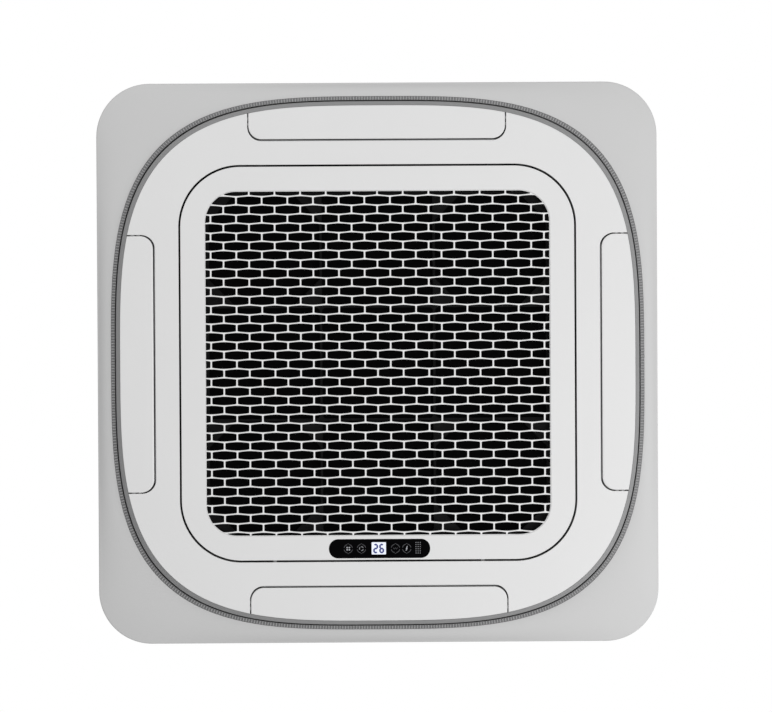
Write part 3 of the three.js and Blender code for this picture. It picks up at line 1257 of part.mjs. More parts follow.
function controlBoxCover() {
  const x = CONTROL_BOX_LENGTH / 2;
  const y = CONTROL_BOX_WIDTH / 2;
  const z = controlBoxTopZ - CONTROL_BOX_HEIGHT - SEAT_GAP;
  const lid = slab(roundedRectangle(-x, x, -y, y, 2 * SHEET_STEEL, 1), z - SHEET_STEEL, z);
  const inner = SHEET_STEEL + SEAT_GAP;
  const lip = slab(roundedRectangle(-x + inner, x - inner, -y + inner, y - inner, 1, 1), z - 1,
    z + CONTROL_BOX_LIP,
    [roundedRectangle(-x + 2 * inner, x - 2 * inner, -y + 2 * inner, y - 2 * inner, 1, 1)]);
  return join(lid, lip).translate(0, controlBoxY, 0);
}

// Main board on its standoffs, with the terminal block, a heat sink, three relays and two capacitors
function mainBoard() {
  const x = CONTROL_BOX_LENGTH / 2 - 4 * SHEET_STEEL;
  const y = CONTROL_BOX_WIDTH / 2 - 4 * SHEET_STEEL;
  const roof = controlBoxTopZ - SHEET_STEEL - SEAT_GAP;
  const z = roof - BOARD_STANDOFF;
  const low = z - BOARD_THICKNESS;
  const board = block(-x, x, -y, y, low, z);
  const part = ({ x: start, length, y: y0, width, height }, shift = 0) => block(start + shift - x,
    start + shift + length - x, y0, y0 + width, low - height, low + 1);
  const corners = [[-1, -1], [1, -1], [-1, 1], [1, 1]];
  const posts = corners.map(([sx, sy]) => bar(POST_RADIUS, z - 1, roof, 'z', 8)
    .translate(sx * (x - 2 * POST_RADIUS), sy * (y - 2 * POST_RADIUS), 0));
  const relays = [0, 1, 2].map((i) => part(RELAY, i * RELAY_PITCH));
  const cans = [0, 1].map((i) => bar(CAPACITOR_RADIUS, low - CAPACITOR_HEIGHT, low + 1)
    .translate(x - CAPACITOR_INSET - i * CAPACITOR_PITCH, -CAPACITOR_RADIUS, 0));
  const pieces = [board, part(TERMINALS), part(HEAT_SINK), ...posts, ...relays, ...cans];
  return join(...pieces).translate(0, controlBoxY, 0);
}

// ---------------------------------------------------------------------------------------------------------
// Hanger brackets
// ---------------------------------------------------------------------------------------------------------

// Bracket on a cut corner of the casing: a plate, a slotted flange that bears on the rod's nut, two gussets
function hangerBracket() {
  const x = (BODY_SIDE - BODY_CHAMFER) / Math.SQRT2 + SEAT_GAP;
  const steel = HANGER_THICKNESS;
  const half = HANGER_WIDTH / 2;
  const side = half - HANGER_FLANGE_INSET;
  const reach = x + HANGER_REACH;
  const slotX = reach - HANGER_SLOT_END - HANGER_SLOT_LENGTH;
  const across = HANGER_SLOT_WIDTH / 2;
  const plate = block(x, x + steel, -half, half, HANGER_Z - HANGER_HEIGHT, HANGER_Z);
  const slot = roundedRectangle(slotX, slotX + HANGER_SLOT_LENGTH, -across, across, across - 0.01, 4);
  const outline = roundedRectangle(x, reach, -side, side, HANGER_CORNER, 3);
  const flange = slab(outline, HANGER_Z - steel, HANGER_Z, [slot]);
  const gusset = slab([new THREE.Vector2(x + 1, HANGER_Z - 1),
    new THREE.Vector2(reach - HANGER_SLOT_END, HANGER_Z - 1),
    new THREE.Vector2(x + 1, HANGER_Z - HANGER_HEIGHT + HANGER_CORNER)], 0, steel).rotateX(Math.PI / 2);
  const left = gusset.clone().translate(0, side, 0);
  const right = gusset.clone().translate(0, steel - side, 0);
  return join(plate, flange, left, right);
}

// ---------------------------------------------------------------------------------------------------------
// Assembly
// ---------------------------------------------------------------------------------------------------------

place('fascia_frame', fasciaFrame(), fasciaPlastic);
place('ribbed_trim', ribbedTrim(), ribbedPlastic);
place('rim_band', rimBand(), rimPlastic);
place('centre_panel', centrePanel(), whitePlastic);
place('panel_base', panelBase(), greyPlastic);
place('panel_seal', panelSeal(), darkFoam);

for (const [side, degrees] of Object.entries(sides)) {
  const quarter = new THREE.Group();
  quarter.rotation.z = THREE.MathUtils.degToRad(degrees);
  unit.add(quarter);
  place(`outlet_duct_${side}`, outletDuct(), greyPlastic, quarter);
  place(`louver_${side}`, louver(), whitePlastic, quarter);
  place(`louver_motor_${side}`, louverMotor(), blackPlastic, quarter);
}

place('grille_frame', grilleFrame(), whitePlastic);
place('honeycomb_grille', honeycombGrille(), whitePlastic);
place('filter_frame', filterFrame(), filterPlastic);
place('filter_mesh', filterMesh(), filterPlastic);
place('display_lens', displayLens(), glossBlack);
place('display_board', displayBoard(), circuitBoard);
place('hinge_bracket_left', hingeBracket(-hingeX), greyPlastic);
place('hinge_bracket_right', hingeBracket(hingeX), greyPlastic);
for (const [side, x] of [['left', -catchX], ['right', catchX]]) {
  place(`catch_housing_${side}`, catchHousing(x), blackPlastic);
  place(`catch_plunger_${side}`, catchPlunger(), greyPlastic).position.set(x, catchY, 0);
}

place('casing_wall', casingWall(), galvanisedSteel);
place('top_cover', topCover(), galvanisedSteel);
place('foam_liner', foamLiner(), foam);
place('drain_pan', drainPan(), foam);
place('bellmouth', bellmouth(), blackPlastic);
['back_right', 'back_left', 'front_left', 'front_right'].forEach((corner, i) => {
  const bracket = place(`hanger_bracket_${corner}`, hangerBracket(), galvanisedSteel);
  bracket.rotation.z = Math.PI / 4 + i * Math.PI / 2;
});

place('fan_motor', fanMotor(), darkSteel);
place('fan_wheel', fanWheel(), blackPlastic);
place('fan_shaft', fanShaft(), darkSteel);
place('fan_hub_nut', hubNut(), brass);

place('heat_exchanger', heatExchanger(), aluminium);
place('coil_end_plate', coilEndPlate(), galvanisedSteel);
place('gas_pipe', coilPipe(GAS_PIPE_RADIUS, GAS_PIPE_Z), copper);
place('liquid_pipe', coilPipe(LIQUID_PIPE_RADIUS, LIQUID_PIPE_Z), copper);
place('gas_flare_nut', flareNut(GAS_PIPE_RADIUS, GAS_PIPE_Z), brass);
place('liquid_flare_nut', flareNut(LIQUID_PIPE_RADIUS, LIQUID_PIPE_Z), brass);
place('pipe_cover', pipeCover(), galvanisedSteel);

place('drain_pump', drainPump(), whitePlastic);
place('pump_impeller', pumpImpeller(), greyPlastic);
place('pump_bracket', pumpBracket(), galvanisedSteel);
place('float_stem', floatStem(), blackPlastic);
place('float_ring', floatRing(), greyPlastic);
place('drain_hose', drainHose(), greyPlastic);

place('control_box', controlBox(), galvanisedSteel);
place('control_box_cover', controlBoxCover(), galvanisedSteel);
place('main_circuit_board', mainBoard(), circuitBoard);

export default unit;
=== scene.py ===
import math

import bmesh
import bpy
from mathutils import Matrix, Vector


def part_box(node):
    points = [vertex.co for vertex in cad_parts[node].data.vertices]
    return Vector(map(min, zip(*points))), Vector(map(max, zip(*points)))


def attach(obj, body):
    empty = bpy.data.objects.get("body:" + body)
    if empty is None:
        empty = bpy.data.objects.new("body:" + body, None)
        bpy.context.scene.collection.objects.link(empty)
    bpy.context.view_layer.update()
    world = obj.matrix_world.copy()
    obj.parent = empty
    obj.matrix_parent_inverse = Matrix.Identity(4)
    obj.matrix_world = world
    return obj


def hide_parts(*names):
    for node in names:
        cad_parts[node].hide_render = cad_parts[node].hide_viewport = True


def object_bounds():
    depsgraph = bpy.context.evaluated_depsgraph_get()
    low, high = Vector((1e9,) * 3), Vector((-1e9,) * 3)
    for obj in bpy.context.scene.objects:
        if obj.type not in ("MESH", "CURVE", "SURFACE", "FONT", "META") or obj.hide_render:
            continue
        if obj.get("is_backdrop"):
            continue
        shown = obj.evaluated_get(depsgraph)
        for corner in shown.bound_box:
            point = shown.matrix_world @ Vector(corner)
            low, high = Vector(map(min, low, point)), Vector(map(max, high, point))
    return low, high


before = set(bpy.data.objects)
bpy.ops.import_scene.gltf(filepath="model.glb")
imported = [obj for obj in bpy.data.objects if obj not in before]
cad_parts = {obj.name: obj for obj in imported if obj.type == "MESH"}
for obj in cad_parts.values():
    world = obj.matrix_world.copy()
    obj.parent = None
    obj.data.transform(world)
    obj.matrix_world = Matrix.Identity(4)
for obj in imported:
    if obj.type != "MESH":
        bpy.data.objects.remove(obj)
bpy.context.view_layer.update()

# --------------------------------------------------------------------
# Camera
# It looks straight up at the unit with a long lens, because the photograph has hardly any perspective.
# Places are in metres; the photograph is tilted by a third of a degree.
EYE = Vector((-0.1241, -0.2239, -10))
SIGHT = Vector((0.013824, 0.021263, 0.999678))
UPWARDS = Vector((0.005687, -0.999759, 0.021186))
LENS_MM = 274.6
SENSOR_MM = 36
SIGHT_END = 400  # past the far corner of the floor


def in_scene(name, data):
    """An object in the scene, for a camera, a lamp or a mesh."""
    thing = bpy.data.objects.new(name, data)
    bpy.context.scene.collection.objects.link(thing)
    return thing


lens = bpy.data.cameras.new("camera")
lens.lens = LENS_MM
lens.sensor_width = SENSOR_MM
lens.sensor_fit = "HORIZONTAL"
lens.clip_end = SIGHT_END
camera = in_scene("camera", lens)
across = SIGHT.cross(UPWARDS).normalized()
turned = Matrix((across, across.cross(SIGHT), -SIGHT)).transposed()
camera.matrix_world = Matrix.Translation(EYE) @ turned.to_4x4()
bpy.context.scene.camera = camera
bpy.context.scene.view_settings.view_transform = "Standard"

# --------------------------------------------------------------------
# Room light and floor
# Soft lamps below the panel, a little to its right, and two above the body; the surroundings are white.
# The pale floor lies below the camera, so that the view upwards shows the unit alone.
AMBIENT = 0.555
FLOOR_DEPTH = 11
FLOOR_HALF = 200
FLOOR_GREY = 0.88
# place, size and power in watts of each lamp
LAMPS = {
    "key_light": ((1.75, 0.75, -2.35), 2.2, 46),
    "fill_light": ((-0.9, -1.9, -1.8), 2.6, 20),
    "upper_light": ((-1.2, -1.6, 2.6), 2.4, 26),
    "back_light": ((1.8, 1.9, 1.9), 2.2, 15),
}

for name, (place, size, power) in LAMPS.items():
    light = bpy.data.lights.new(name, "AREA")
    light.shape = "DISK"
    light.size = size
    light.energy = power
    lamp = in_scene(name, light)
    lamp.location = place
    lamp.rotation_euler = (-Vector(place)).to_track_quat("-Z", "Y").to_euler()
    lamp.visible_camera = False


def feed(tree, target, inputs):
    """Sets or links a node's inputs, by name or number. Another node stands for its first output."""
    for key, value in inputs.items():
        if isinstance(value, bpy.types.Node):
            value = value.outputs[0]
        if isinstance(value, bpy.types.NodeSocket):
            tree.links.new(value, target.inputs[key])
        else:
            target.inputs[key].default_value = value


def node(tree, kind, inputs=None, **settings):
    """A new node in a tree of a material, the world or geometry, with its settings and inputs."""
    new_node = tree.nodes.new(kind)
    for name, value in settings.items():
        setattr(new_node, name, value)
    feed(tree, new_node, inputs or {})
    return new_node


def new_finish(name, constants):
    """A material with constants on its shader, its tree, and the place on the piece in metres."""
    material = bpy.data.materials.new(name)
    material.use_nodes = True
    tree = material.node_tree
    feed(tree, tree.nodes["Principled BSDF"], constants)
    return material, tree, node(tree, "ShaderNodeTexCoord").outputs["Object"]


world = bpy.data.worlds.new("white_room")
world.use_nodes = True
bpy.context.scene.world = world
rays = node(world.node_tree, "ShaderNodeLightPath")
level = node(world.node_tree, "ShaderNodeMapRange", {
    "To Min": AMBIENT, "To Max": 1, "Value": rays.outputs["Is Camera Ray"]})
feed(world.node_tree, world.node_tree.nodes["Background"], {"Color": (1, 1, 1, 1), "Strength": level})

floor_mesh = bpy.data.meshes.new("floor")
floor_mesh.from_pydata([(x * FLOOR_HALF, y * FLOOR_HALF, -FLOOR_DEPTH)
                        for x, y in ((-1, -1), (1, -1), (1, 1), (-1, 1))], [], [(0, 1, 2, 3)])
floor = in_scene("floor", floor_mesh)
floor_paint, _, _ = new_finish("floor_paint", {"Base Color": (*[FLOOR_GREY] * 3, 1), "Roughness": 0.9})
floor_mesh.materials.append(floor_paint)
floor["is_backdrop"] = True

# --------------------------------------------------------------------
# Fascia frame
# The outer frame of the panel: one thin moulding in off-white ABS that slopes from a short skirt at the
# ceiling down to the ribbed ring. It is clipped to the panel base from below, with no screw in sight.
RING_STEPS = 720
RING_POWER = 3.37  # superellipse exponent, between a circle (2) and a square
PANEL_CORNER = 0.090
WALL = 0.0025
FACE_THICKNESS = 0.003
SKIRT_HEIGHT = 0.012
SKIRT_ROUND = 0.0022
ROUND_STEPS = 4
SLOPE_STEPS = 12
SLOPE_BULGE = 2.3
FASCIA_GAP = 0.0003  # to the ribbed ring
CLOUD_SCALE = 9  # clouds of pigment in a metre
GRAIN_STRENGTH = 0.5

fascia_low, fascia_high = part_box("fascia_frame")
trim_low, trim_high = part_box("ribbed_trim")
panel_half = fascia_high[0]
fascia_inner = trim_high[0] + FASCIA_GAP


def ring_reach(half, angle):
    """Distance from the middle to a superellipse, in a direction."""
    c, s = abs(math.cos(angle)), abs(math.sin(angle))
    return half / (c ** RING_POWER + s ** RING_POWER) ** (1 / RING_POWER)


def polar_loop(half, z, corner=None):
    """Points round a superellipse, or round a square with round corners, at one height."""
    points = []
    for step in range(RING_STEPS):
        angle = 2 * math.pi * step / RING_STEPS
        c, s = abs(math.cos(angle)), abs(math.sin(angle))
        if corner is None:
            reach = ring_reach(half, angle)
        elif half * min(c, s) <= (half - corner) * max(c, s):
            reach = half / max(c, s)
        else:
            along = (half - corner) * (c + s)
            reach = along + math.sqrt(along ** 2 - 2 * (half - corner) ** 2 + corner ** 2)
        points.append(Vector((reach * math.cos(angle), reach * math.sin(angle), z)))
    return points


def front_edge(half, corner, front, radius, opening=False):
    """Loops over a rounded edge, from the upright side to the flat front, of a plate or of a hole in it."""
    loops = []
    for step in range(ROUND_STEPS + 1):
        turn = step / ROUND_STEPS * math.pi / 2
        inset = radius * (1 - math.cos(turn)) * (-1 if opening else 1)
        shrunk = None if corner is None else corner - inset
        loops.append(polar_loop(half - inset, front + radius * (1 - math.sin(turn)), shrunk))
    return loops


def bridged(bm, loops, closed=False):
    """Quads from each loop of vertices to the next; a closed ring of loops needs no end faces."""
    faces = []
    for loop, following in zip(loops, loops[1:] + loops[:1] if closed else loops[1:]):
        for i, vert in enumerate(loop):
            j = (i + 1) % len(loop)
            faces.append(bm.faces.new((vert, loop[j], following[j], following[i])))
    if not closed:
        faces += [bm.faces.new(loops[0]), bm.faces.new(loops[-1])]
    bmesh.ops.recalc_face_normals(bm, faces=faces)
    return bm


def lofted(loops):
    """A closed ring of quads through the loops, and from the last loop back to the first."""
    bm = bmesh.new()
    return bridged(bm, [[bm.verts.new(point) for point in loop] for loop in loops], closed=True)


def mesh_from(bm, name):
    mesh = bpy.data.meshes.new(name)
    bm.to_mesh(mesh)
    bm.free()
    return mesh


def soften(part, sharp_degrees=35):
    """Smooth shading that keeps real corners crisp and flat faces flat."""
    part.data.shade_smooth()
    part.data.set_sharp_from_angle(angle=math.radians(sharp_degrees))
    even = part.modifiers.new("even_normals", "WEIGHTED_NORMAL")
    even.keep_sharp = True
    even.weight = 100


def placed(name, mesh, body="housing", stands_for=()):
    """The finished piece: a mesh object that rides on its body and stands for its CAD nodes."""
    part = in_scene(name, mesh)
    soften(part)
    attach(part, body)
    if stands_for:
        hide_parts(*stands_for)


def made(name, bm, material, body="housing", stands_for=()):
    """The finished piece from a shape all in one material."""
    mesh = mesh_from(bm, name)
    mesh.materials.append(material)
    placed(name, mesh, body, stands_for)


def shaded(colour, share):
    return [c * share for c in colour]


def tinted(tree, share, first, second, socket="Base Color"):
    """The colour goes from the first to the second with the share."""
    mix = node(tree, "ShaderNodeMix", {"A": (*first, 1), "B": (*second, 1), "Factor": share},
               data_type="RGBA")
    feed(tree, tree.nodes["Principled BSDF"], {socket: mix.outputs["Result"]})


def glossed(tree, share, low, high):
    """The roughness goes from low to high with the share."""
    level = node(tree, "ShaderNodeMapRange", {"To Min": low, "To Max": high, "Value": share})
    feed(tree, tree.nodes["Principled BSDF"], {"Roughness": level})


def embossed(tree, height, strength, depth, invert=False):
    """A fine relief of a depth in metres."""
    bump = node(tree, "ShaderNodeBump", {"Strength": strength, "Distance": depth, "Height": height},
                invert=invert)
    feed(tree, tree.nodes["Principled BSDF"], {"Normal": bump})


def noise(tree, place, scale, detail=2):
    return node(tree, "ShaderNodeTexNoise", {"Scale": scale, "Detail": detail, "Vector": place})


def plastic(name, colour, roughness=0.45, mottle=0.012, grain=900, relief=0.00004, sheen_spread=0.05,
            specular=0.5):
    """Moulded plastic: faint cloudy colour from the pigment and a fine spark-eroded grain from the mould."""
    material, tree, place = new_finish(name, {"Specular IOR Level": specular})
    cloud = noise(tree, place, CLOUD_SCALE, 3).outputs["Fac"]
    fine = noise(tree, place, grain).outputs["Fac"]
    tinted(tree, cloud, shaded(colour, 1 - mottle), shaded(colour, 1 + mottle))
    glossed(tree, fine, roughness - sheen_spread, roughness + sheen_spread)
    embossed(tree, fine, GRAIN_STRENGTH, relief)
    return material


fascia_loops = [polar_loop(panel_half, 0, PANEL_CORNER)]
fascia_loops += front_edge(panel_half, PANEL_CORNER, -SKIRT_HEIGHT, SKIRT_ROUND)
brow = fascia_loops[-1]
eave = polar_loop(fascia_inner, fascia_low[2])
for step in range(1, SLOPE_STEPS):
    share = step / SLOPE_STEPS
    drop = 1 - (1 - share) ** SLOPE_BULGE
    slope = []
    for outer, inner in zip(brow, eave):
        point = outer.lerp(inner, share)
        point.z = outer.z + (inner.z - outer.z) * drop
        slope.append(point)
    fascia_loops.append(slope)
fascia_loops += [
    eave,
    polar_loop(fascia_inner, fascia_low[2] + FACE_THICKNESS),
    polar_loop(panel_half - WALL, FACE_THICKNESS - SKIRT_HEIGHT, PANEL_CORNER - WALL),
    polar_loop(panel_half - WALL, 0, PANEL_CORNER - WALL),
]
made("fascia_moulding", lofted(fascia_loops), plastic("fascia_abs", (0.575, 0.575, 0.575), roughness=0.6),
     stands_for=["fascia_frame"])

# --------------------------------------------------------------------
# Ribbed ring
# A narrow ring of grey plastic between fascia and rim, with fine ribs all the way round, each square to
# the ring. It is one moulding with its ribs and snaps onto the panel base. The ring under the ribs is a
# darker grey than the ribs: painted shade in the valleys between them.
TRIM_WIDTH = 0.0064
TRIM_PROUD = 0.001  # of the edge of the fascia
RIB_PITCH = 0.0047
RIB_HEIGHT = 0.0013
RIB_DEPTH = 0.00169  # from the crest to the feet, which lie inside the ring
RIB_WIDTH = 0.0024
RIB_END_GAP = 0.0004
RIB_FACETS = 6

trim_outer = trim_high[0]
trim_inner = trim_outer - TRIM_WIDTH
trim_front_outer = fascia_low[2] - TRIM_PROUD
trim_front_inner = trim_low[2]

ribbed_finish = plastic("ribbed_grey_abs", (0.35, 0.35, 0.353), roughness=0.45)
# painted shade: the ring body under the ribs is a darker grey than the ribs, for the shade in the valleys
# between them
valley_painted_shade_finish = plastic("ribbed_grey_valleys", (0.17, 0.17, 0.173), roughness=0.6)
ring = lofted([
    polar_loop(trim_outer, trim_high[2]),
    polar_loop(trim_outer, trim_front_outer + RIB_HEIGHT),
    polar_loop(trim_inner, trim_front_inner + RIB_HEIGHT),
    polar_loop(trim_inner, trim_high[2]),
])
made("ribbed_ring", ring, valley_painted_shade_finish, stands_for=["ribbed_trim"])


def rib_mesh():
    """One rib along X, half round, from the outer to the inner edge of the ring, sloping with it."""
    bm = bmesh.new()
    length = (trim_outer - trim_inner) / 2 - RIB_END_GAP
    slope = (trim_front_outer - trim_front_inner) / (trim_outer - trim_inner)
    ends = []
    for x in (-length, length):
        angles = [math.pi * step / RIB_FACETS for step in range(RIB_FACETS + 1)]
        ends.append([bm.verts.new((x, RIB_WIDTH / 2 * math.cos(angle),
                                   x * slope + RIB_DEPTH * (1 - math.sin(angle)))) for angle in angles])
    return mesh_from(bridged(bm, ends), "rib")


def tree_with(name, sockets):
    """A geometry tree with the named inputs, their sockets and their identifiers."""
    tree = bpy.data.node_groups.new(name, "GeometryNodeTree")
    for way in ("INPUT", "OUTPUT"):
        tree.interface.new_socket("Geometry", in_out=way, socket_type="NodeSocketGeometry")
    keys = {}
    for label, kind in sockets.items():
        socket = tree.interface.new_socket(label, in_out="INPUT", socket_type="NodeSocket" + kind)
        keys[label] = socket.identifier
    return tree, node(tree, "NodeGroupInput").outputs, keys


def instanced(tree, points, thing, **extras):
    """The thing at each point, with what else the points say."""
    shape = node(tree, "GeometryNodeObjectInfo", {"Object": thing}).outputs["Geometry"]
    return node(tree, "GeometryNodeInstanceOnPoints", {"Points": points, "Instance": shape, **extras})


def ended(tree, geometry, finish):
    """The end of every tree: real geometry, not instances, with its material."""
    real = node(tree, "GeometryNodeRealizeInstances", {"Geometry": geometry})
    painted = node(tree, "GeometryNodeSetMaterial", {"Geometry": real, "Material": finish})
    node(tree, "NodeGroupOutput", {"Geometry": painted})


def final_mesh(thing):
    """The mesh of an object with its modifiers applied."""
    bpy.context.view_layer.update()
    return bpy.data.meshes.new_from_object(thing.evaluated_get(bpy.context.evaluated_depsgraph_get()))


def grown(name, start, tree, keys, values):
    """The plain mesh that a geometry tree makes from a starting mesh; it gets a mesh as an object."""
    seed = in_scene(name + "_seed", start)
    helpers = [seed]
    modifier = seed.modifiers.new(name, "NODES")
    modifier.node_group = tree
    for label, value in values.items():
        if isinstance(value, bpy.types.Mesh):
            value = in_scene(value.name, value)
            helpers.append(value)
        modifier[keys[label]] = value
    shape = final_mesh(seed)
    seed.modifiers.remove(modifier)
    for helper in helpers:
        bpy.data.objects.remove(helper)
    shape.name = name
    return shape


def ribs_round_ring():
    tree, given, keys = tree_with("ribs_round_a_ring", {
        "Pitch": "Float", "Rib": "Object", "Finish": "Material"})
    curve = node(tree, "GeometryNodeMeshToCurve", {"Mesh": given["Geometry"]})
    spaced = node(tree, "GeometryNodeResampleCurve", {"Curve": curve, "Length": given["Pitch"]},
                  mode="LENGTH")
    heading = node(tree, "FunctionNodeAlignRotationToVector", {
        "Vector": node(tree, "GeometryNodeInputTangent")}, axis="Y", pivot_axis="Z")
    ended(tree, instanced(tree, spaced, given["Rib"], Rotation=heading), given["Finish"])
    return tree, keys


def loop_mesh(points):
    """A bare closed line of edges, for a tree to follow."""
    mesh = bpy.data.meshes.new("line")
    count = len(points)
    mesh.from_pydata(points, [(i, (i + 1) % count) for i in range(count)], [])
    return mesh


middle = polar_loop((trim_outer + trim_inner) / 2, (trim_front_outer + trim_front_inner) / 2)
ribs = grown("ring_ribs", loop_mesh(middle), *ribs_round_ring(), {
    "Pitch": RIB_PITCH, "Rib": rib_mesh(), "Finish": ribbed_finish})
placed("ring_ribs", ribs)

# --------------------------------------------------------------------
# Rim band
# The smooth mid-grey edge of the centre panel, chamfered towards the fascia. It is its own moulding, so
# that a dark shadow line parts it from the ribbed ring.
RIM_WIDTH = 0.0066
RIM_SHOULDER = -0.029

rim_low, rim_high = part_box("rim_band")
rim_outer = rim_high[0]
rim_front = rim_low[2]
rim_inner = rim_outer - RIM_WIDTH
# distance in from the outer edge and height, round the section
rim_section = [
    (0, rim_high[2]), (0, RIM_SHOULDER + 0.0008), (0.0003, RIM_SHOULDER),
    (RIM_WIDTH - 0.0006, rim_front + 0.0004), (RIM_WIDTH, rim_front), (RIM_WIDTH, rim_front + 0.0025),
    (WALL, RIM_SHOULDER + WALL), (WALL, rim_high[2]),
]
made("rim_moulding", lofted([polar_loop(rim_outer - inset, z) for inset, z in rim_section]),
     plastic("rim_grey_abs", (0.295, 0.296, 0.298), roughness=0.42), stands_for=["rim_band"])

# --------------------------------------------------------------------
# Centre panel
# The flat face between the rim and the intake grille, cut back on its four sides for the louvers. It is a
# satin white moulding with an upstand round the grille opening, clipped to the panel base.
PLATE_EDGE = 0.0009
FACE_GAP = 0.0003  # to the rim
GRILLE_GAP = 0.0024
GRILLE_HOLE_CORNER = 0.1044
HOLE_LIP = 0.0004  # how far the face reaches into the opening, past the upstand
UPSTAND_INSET = 0.0001
UPSTAND_SINK = 0.0002
LOUVER_HALF = 0.217
LOUVER_GAP = 0.0019
SEAM_SPREAD = 0.0012  # how much wider the seams are at the face than in the CAD model
NOTCH_CORNER = 0.0239
HINGE_X = 0.176
HINGE_OFFSET = 0.008  # edge of the opening to the hinge axis behind the panel
HINGE_HEIGHT = 0.0056
HINGE_THROAT = 0.0102
HINGE_ARM_HALF = 0.003
HINGE_SLOT_HALF = 0.0039
OVERCUT = 0.002
SHARPEST_LEAN = 0.35  # keeps a sharp corner of an outline from running off
ARC_STEPS = 12
OUTLINE_STEPS = 60

panel_low, panel_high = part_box("centre_panel")
centre_half = rim_inner - FACE_GAP
face = panel_low[2]
panel_back = face + FACE_THICKNESS
louver_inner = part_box("louver_right")[0][0]
notch_inner = louver_inner - LOUVER_GAP - SEAM_SPREAD
notch_half = LOUVER_HALF + LOUVER_GAP
grille_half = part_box("grille_frame")[1][0]
grille_hole_half = grille_half + GRILLE_GAP
hinge_y = grille_hole_half + HINGE_OFFSET
hinge_z = face + HINGE_HEIGHT
slot_top = hinge_z + HINGE_THROAT + WALL + (HINGE_SLOT_HALF - HINGE_ARM_HALF)

white_finish = plastic("white_abs", (0.735, 0.735, 0.735), roughness=0.42)


def turned_side(point, side):
    """A place drawn on the +X side, turned to side 0, 1, 2 or 3 anticlockwise."""
    x, y = point
    for _ in range(side):
        x, y = -y, x
    return (x, y)


def ring_across(half, offset):
    """How far out a superellipse lies, at an offset to the side of its axis."""
    return (half ** RING_POWER - abs(offset) ** RING_POWER) ** (1 / RING_POWER)


def arc(cx, cy, radius, start, end, steps=ARC_STEPS):
    """Points round an arc, its two ends included; angles in degrees."""
    points = []
    for step in range(steps + 1):
        angle = math.radians(start + (end - start) * step / steps)
        points.append((cx + radius * math.cos(angle), cy + radius * math.sin(angle)))
    return points


def ring_arc(half, start, end, steps):
    """Points on a superellipse between two directions, its ends left out; angles in degrees."""
    points = []
    for step in range(1, steps):
        angle = math.radians(start + (end - start) * step / steps)
        reach = ring_reach(half, angle)
        points.append((reach * math.cos(angle), reach * math.sin(angle)))
    return points


def notched_outline():
    """Outline of the centre panel, anticlockwise from the lower end of the right-hand louver opening."""
    outline = []
    mouth = ring_across(centre_half, notch_half)
    direction = math.degrees(math.atan2(notch_half, mouth))
    corner_x = notch_inner + NOTCH_CORNER
    corner_y = notch_half - NOTCH_CORNER
    for side in range(4):
        local = [(mouth, -notch_half)]
        local += arc(corner_x, -corner_y, NOTCH_CORNER, 270, 180)
        local += arc(corner_x, corner_y, NOTCH_CORNER, 180, 90)
        local += [(mouth, notch_half)]
        local += ring_arc(centre_half, direction, 90 - direction, OUTLINE_STEPS)
        outline += [turned_side(point, side) for point in local]
    return outline


def flat_loop(half, corner):
    """A square with round corners as a list of (x, y)."""
    return [(point.x, point.y) for point in polar_loop(half, 0, corner)]


def offset_inwards(outline, distances):
    """An outline moved into its material, by a distance of its own at each point."""
    moved = []
    count = len(outline)
    for i, (x, y) in enumerate(outline):
        before = Vector((x - outline[i - 1][0], y - outline[i - 1][1])).normalized()
        after_x, after_y = outline[(i + 1) % count]
        after = Vector((after_x - x, after_y - y)).normalized()
        bisector = Vector((-before.y - after.y, before.x + after.x)).normalized()
        lean = max(SHARPEST_LEAN, bisector.dot(Vector((-before.y, before.x))))
        moved.append((x + bisector.x * distances[i] / lean, y + bisector.y * distances[i] / lean))
    return moved


def plate(bm, outlines, front, back, edge, depth=None):
    """A flat plate with its front edges rounded. The outer outline runs anticlockwise and holes clockwise.

    edge is the width of the rounding, or a function of the place that gives it; depth is its height."""
    depth = depth or edge
    fronts = []
    backs = []
    sides = []
    for outline in outlines:
        widths = [edge(*point) if callable(edge) else edge for point in outline]
        rows = []
        for step in range(ROUND_STEPS + 1):
            turn = step / ROUND_STEPS * math.pi / 2
            inset = [width * (1 - math.cos(turn)) for width in widths]
            z = front + depth * (1 - math.sin(turn))
            rows.append([bm.verts.new((x, y, z)) for x, y in offset_inwards(outline, inset)])
        rows.insert(0, [bm.verts.new((x, y, back)) for x, y in outline])
        for row, following in zip(rows, rows[1:]):
            for i, vert in enumerate(row):
                j = (i + 1) % len(row)
                sides.append(bm.faces.new((vert, following[i], following[j], row[j])))
        backs.append(rows[0])
        fronts.append(rows[-1])
    caps = []
    for loops in (fronts, backs):
        edges = [bm.edges.get((loop[i - 1], loop[i])) for loop in loops for i in range(len(loop))]
        filled = bmesh.ops.triangle_fill(bm, use_beauty=True, edges=edges)
        caps += [item for item in filled["geom"] if isinstance(item, bmesh.types.BMFace)]
    bmesh.ops.recalc_face_normals(bm, faces=sides + caps)
    return bm


def box_into(bm, x0, x1, y0, y1, z0, z1):
    """An upright block between two opposite corners."""
    corners = bmesh.ops.create_cube(bm, size=1)["verts"]
    for vert in corners:
        vert.co = Vector((x0 + (vert.co.x + 0.5) * (x1 - x0), y0 + (vert.co.y + 0.5) * (y1 - y0),
                          z0 + (vert.co.z + 0.5) * (z1 - z0)))


def carved(bm, cutter):
    """The mesh with the cutter taken out of it."""
    blank = in_scene("blank", mesh_from(bm, "blank"))
    tool = in_scene("cutter", mesh_from(cutter, "cutter"))
    cut = blank.modifiers.new("cut", "BOOLEAN")
    cut.operation = "DIFFERENCE"
    cut.solver = "MANIFOLD"
    cut.object = tool
    result = final_mesh(blank)
    for used in (blank, tool):
        bpy.data.objects.remove(used)
    whole = bmesh.new()
    whole.from_mesh(result)
    bpy.data.meshes.remove(result)
    return whole


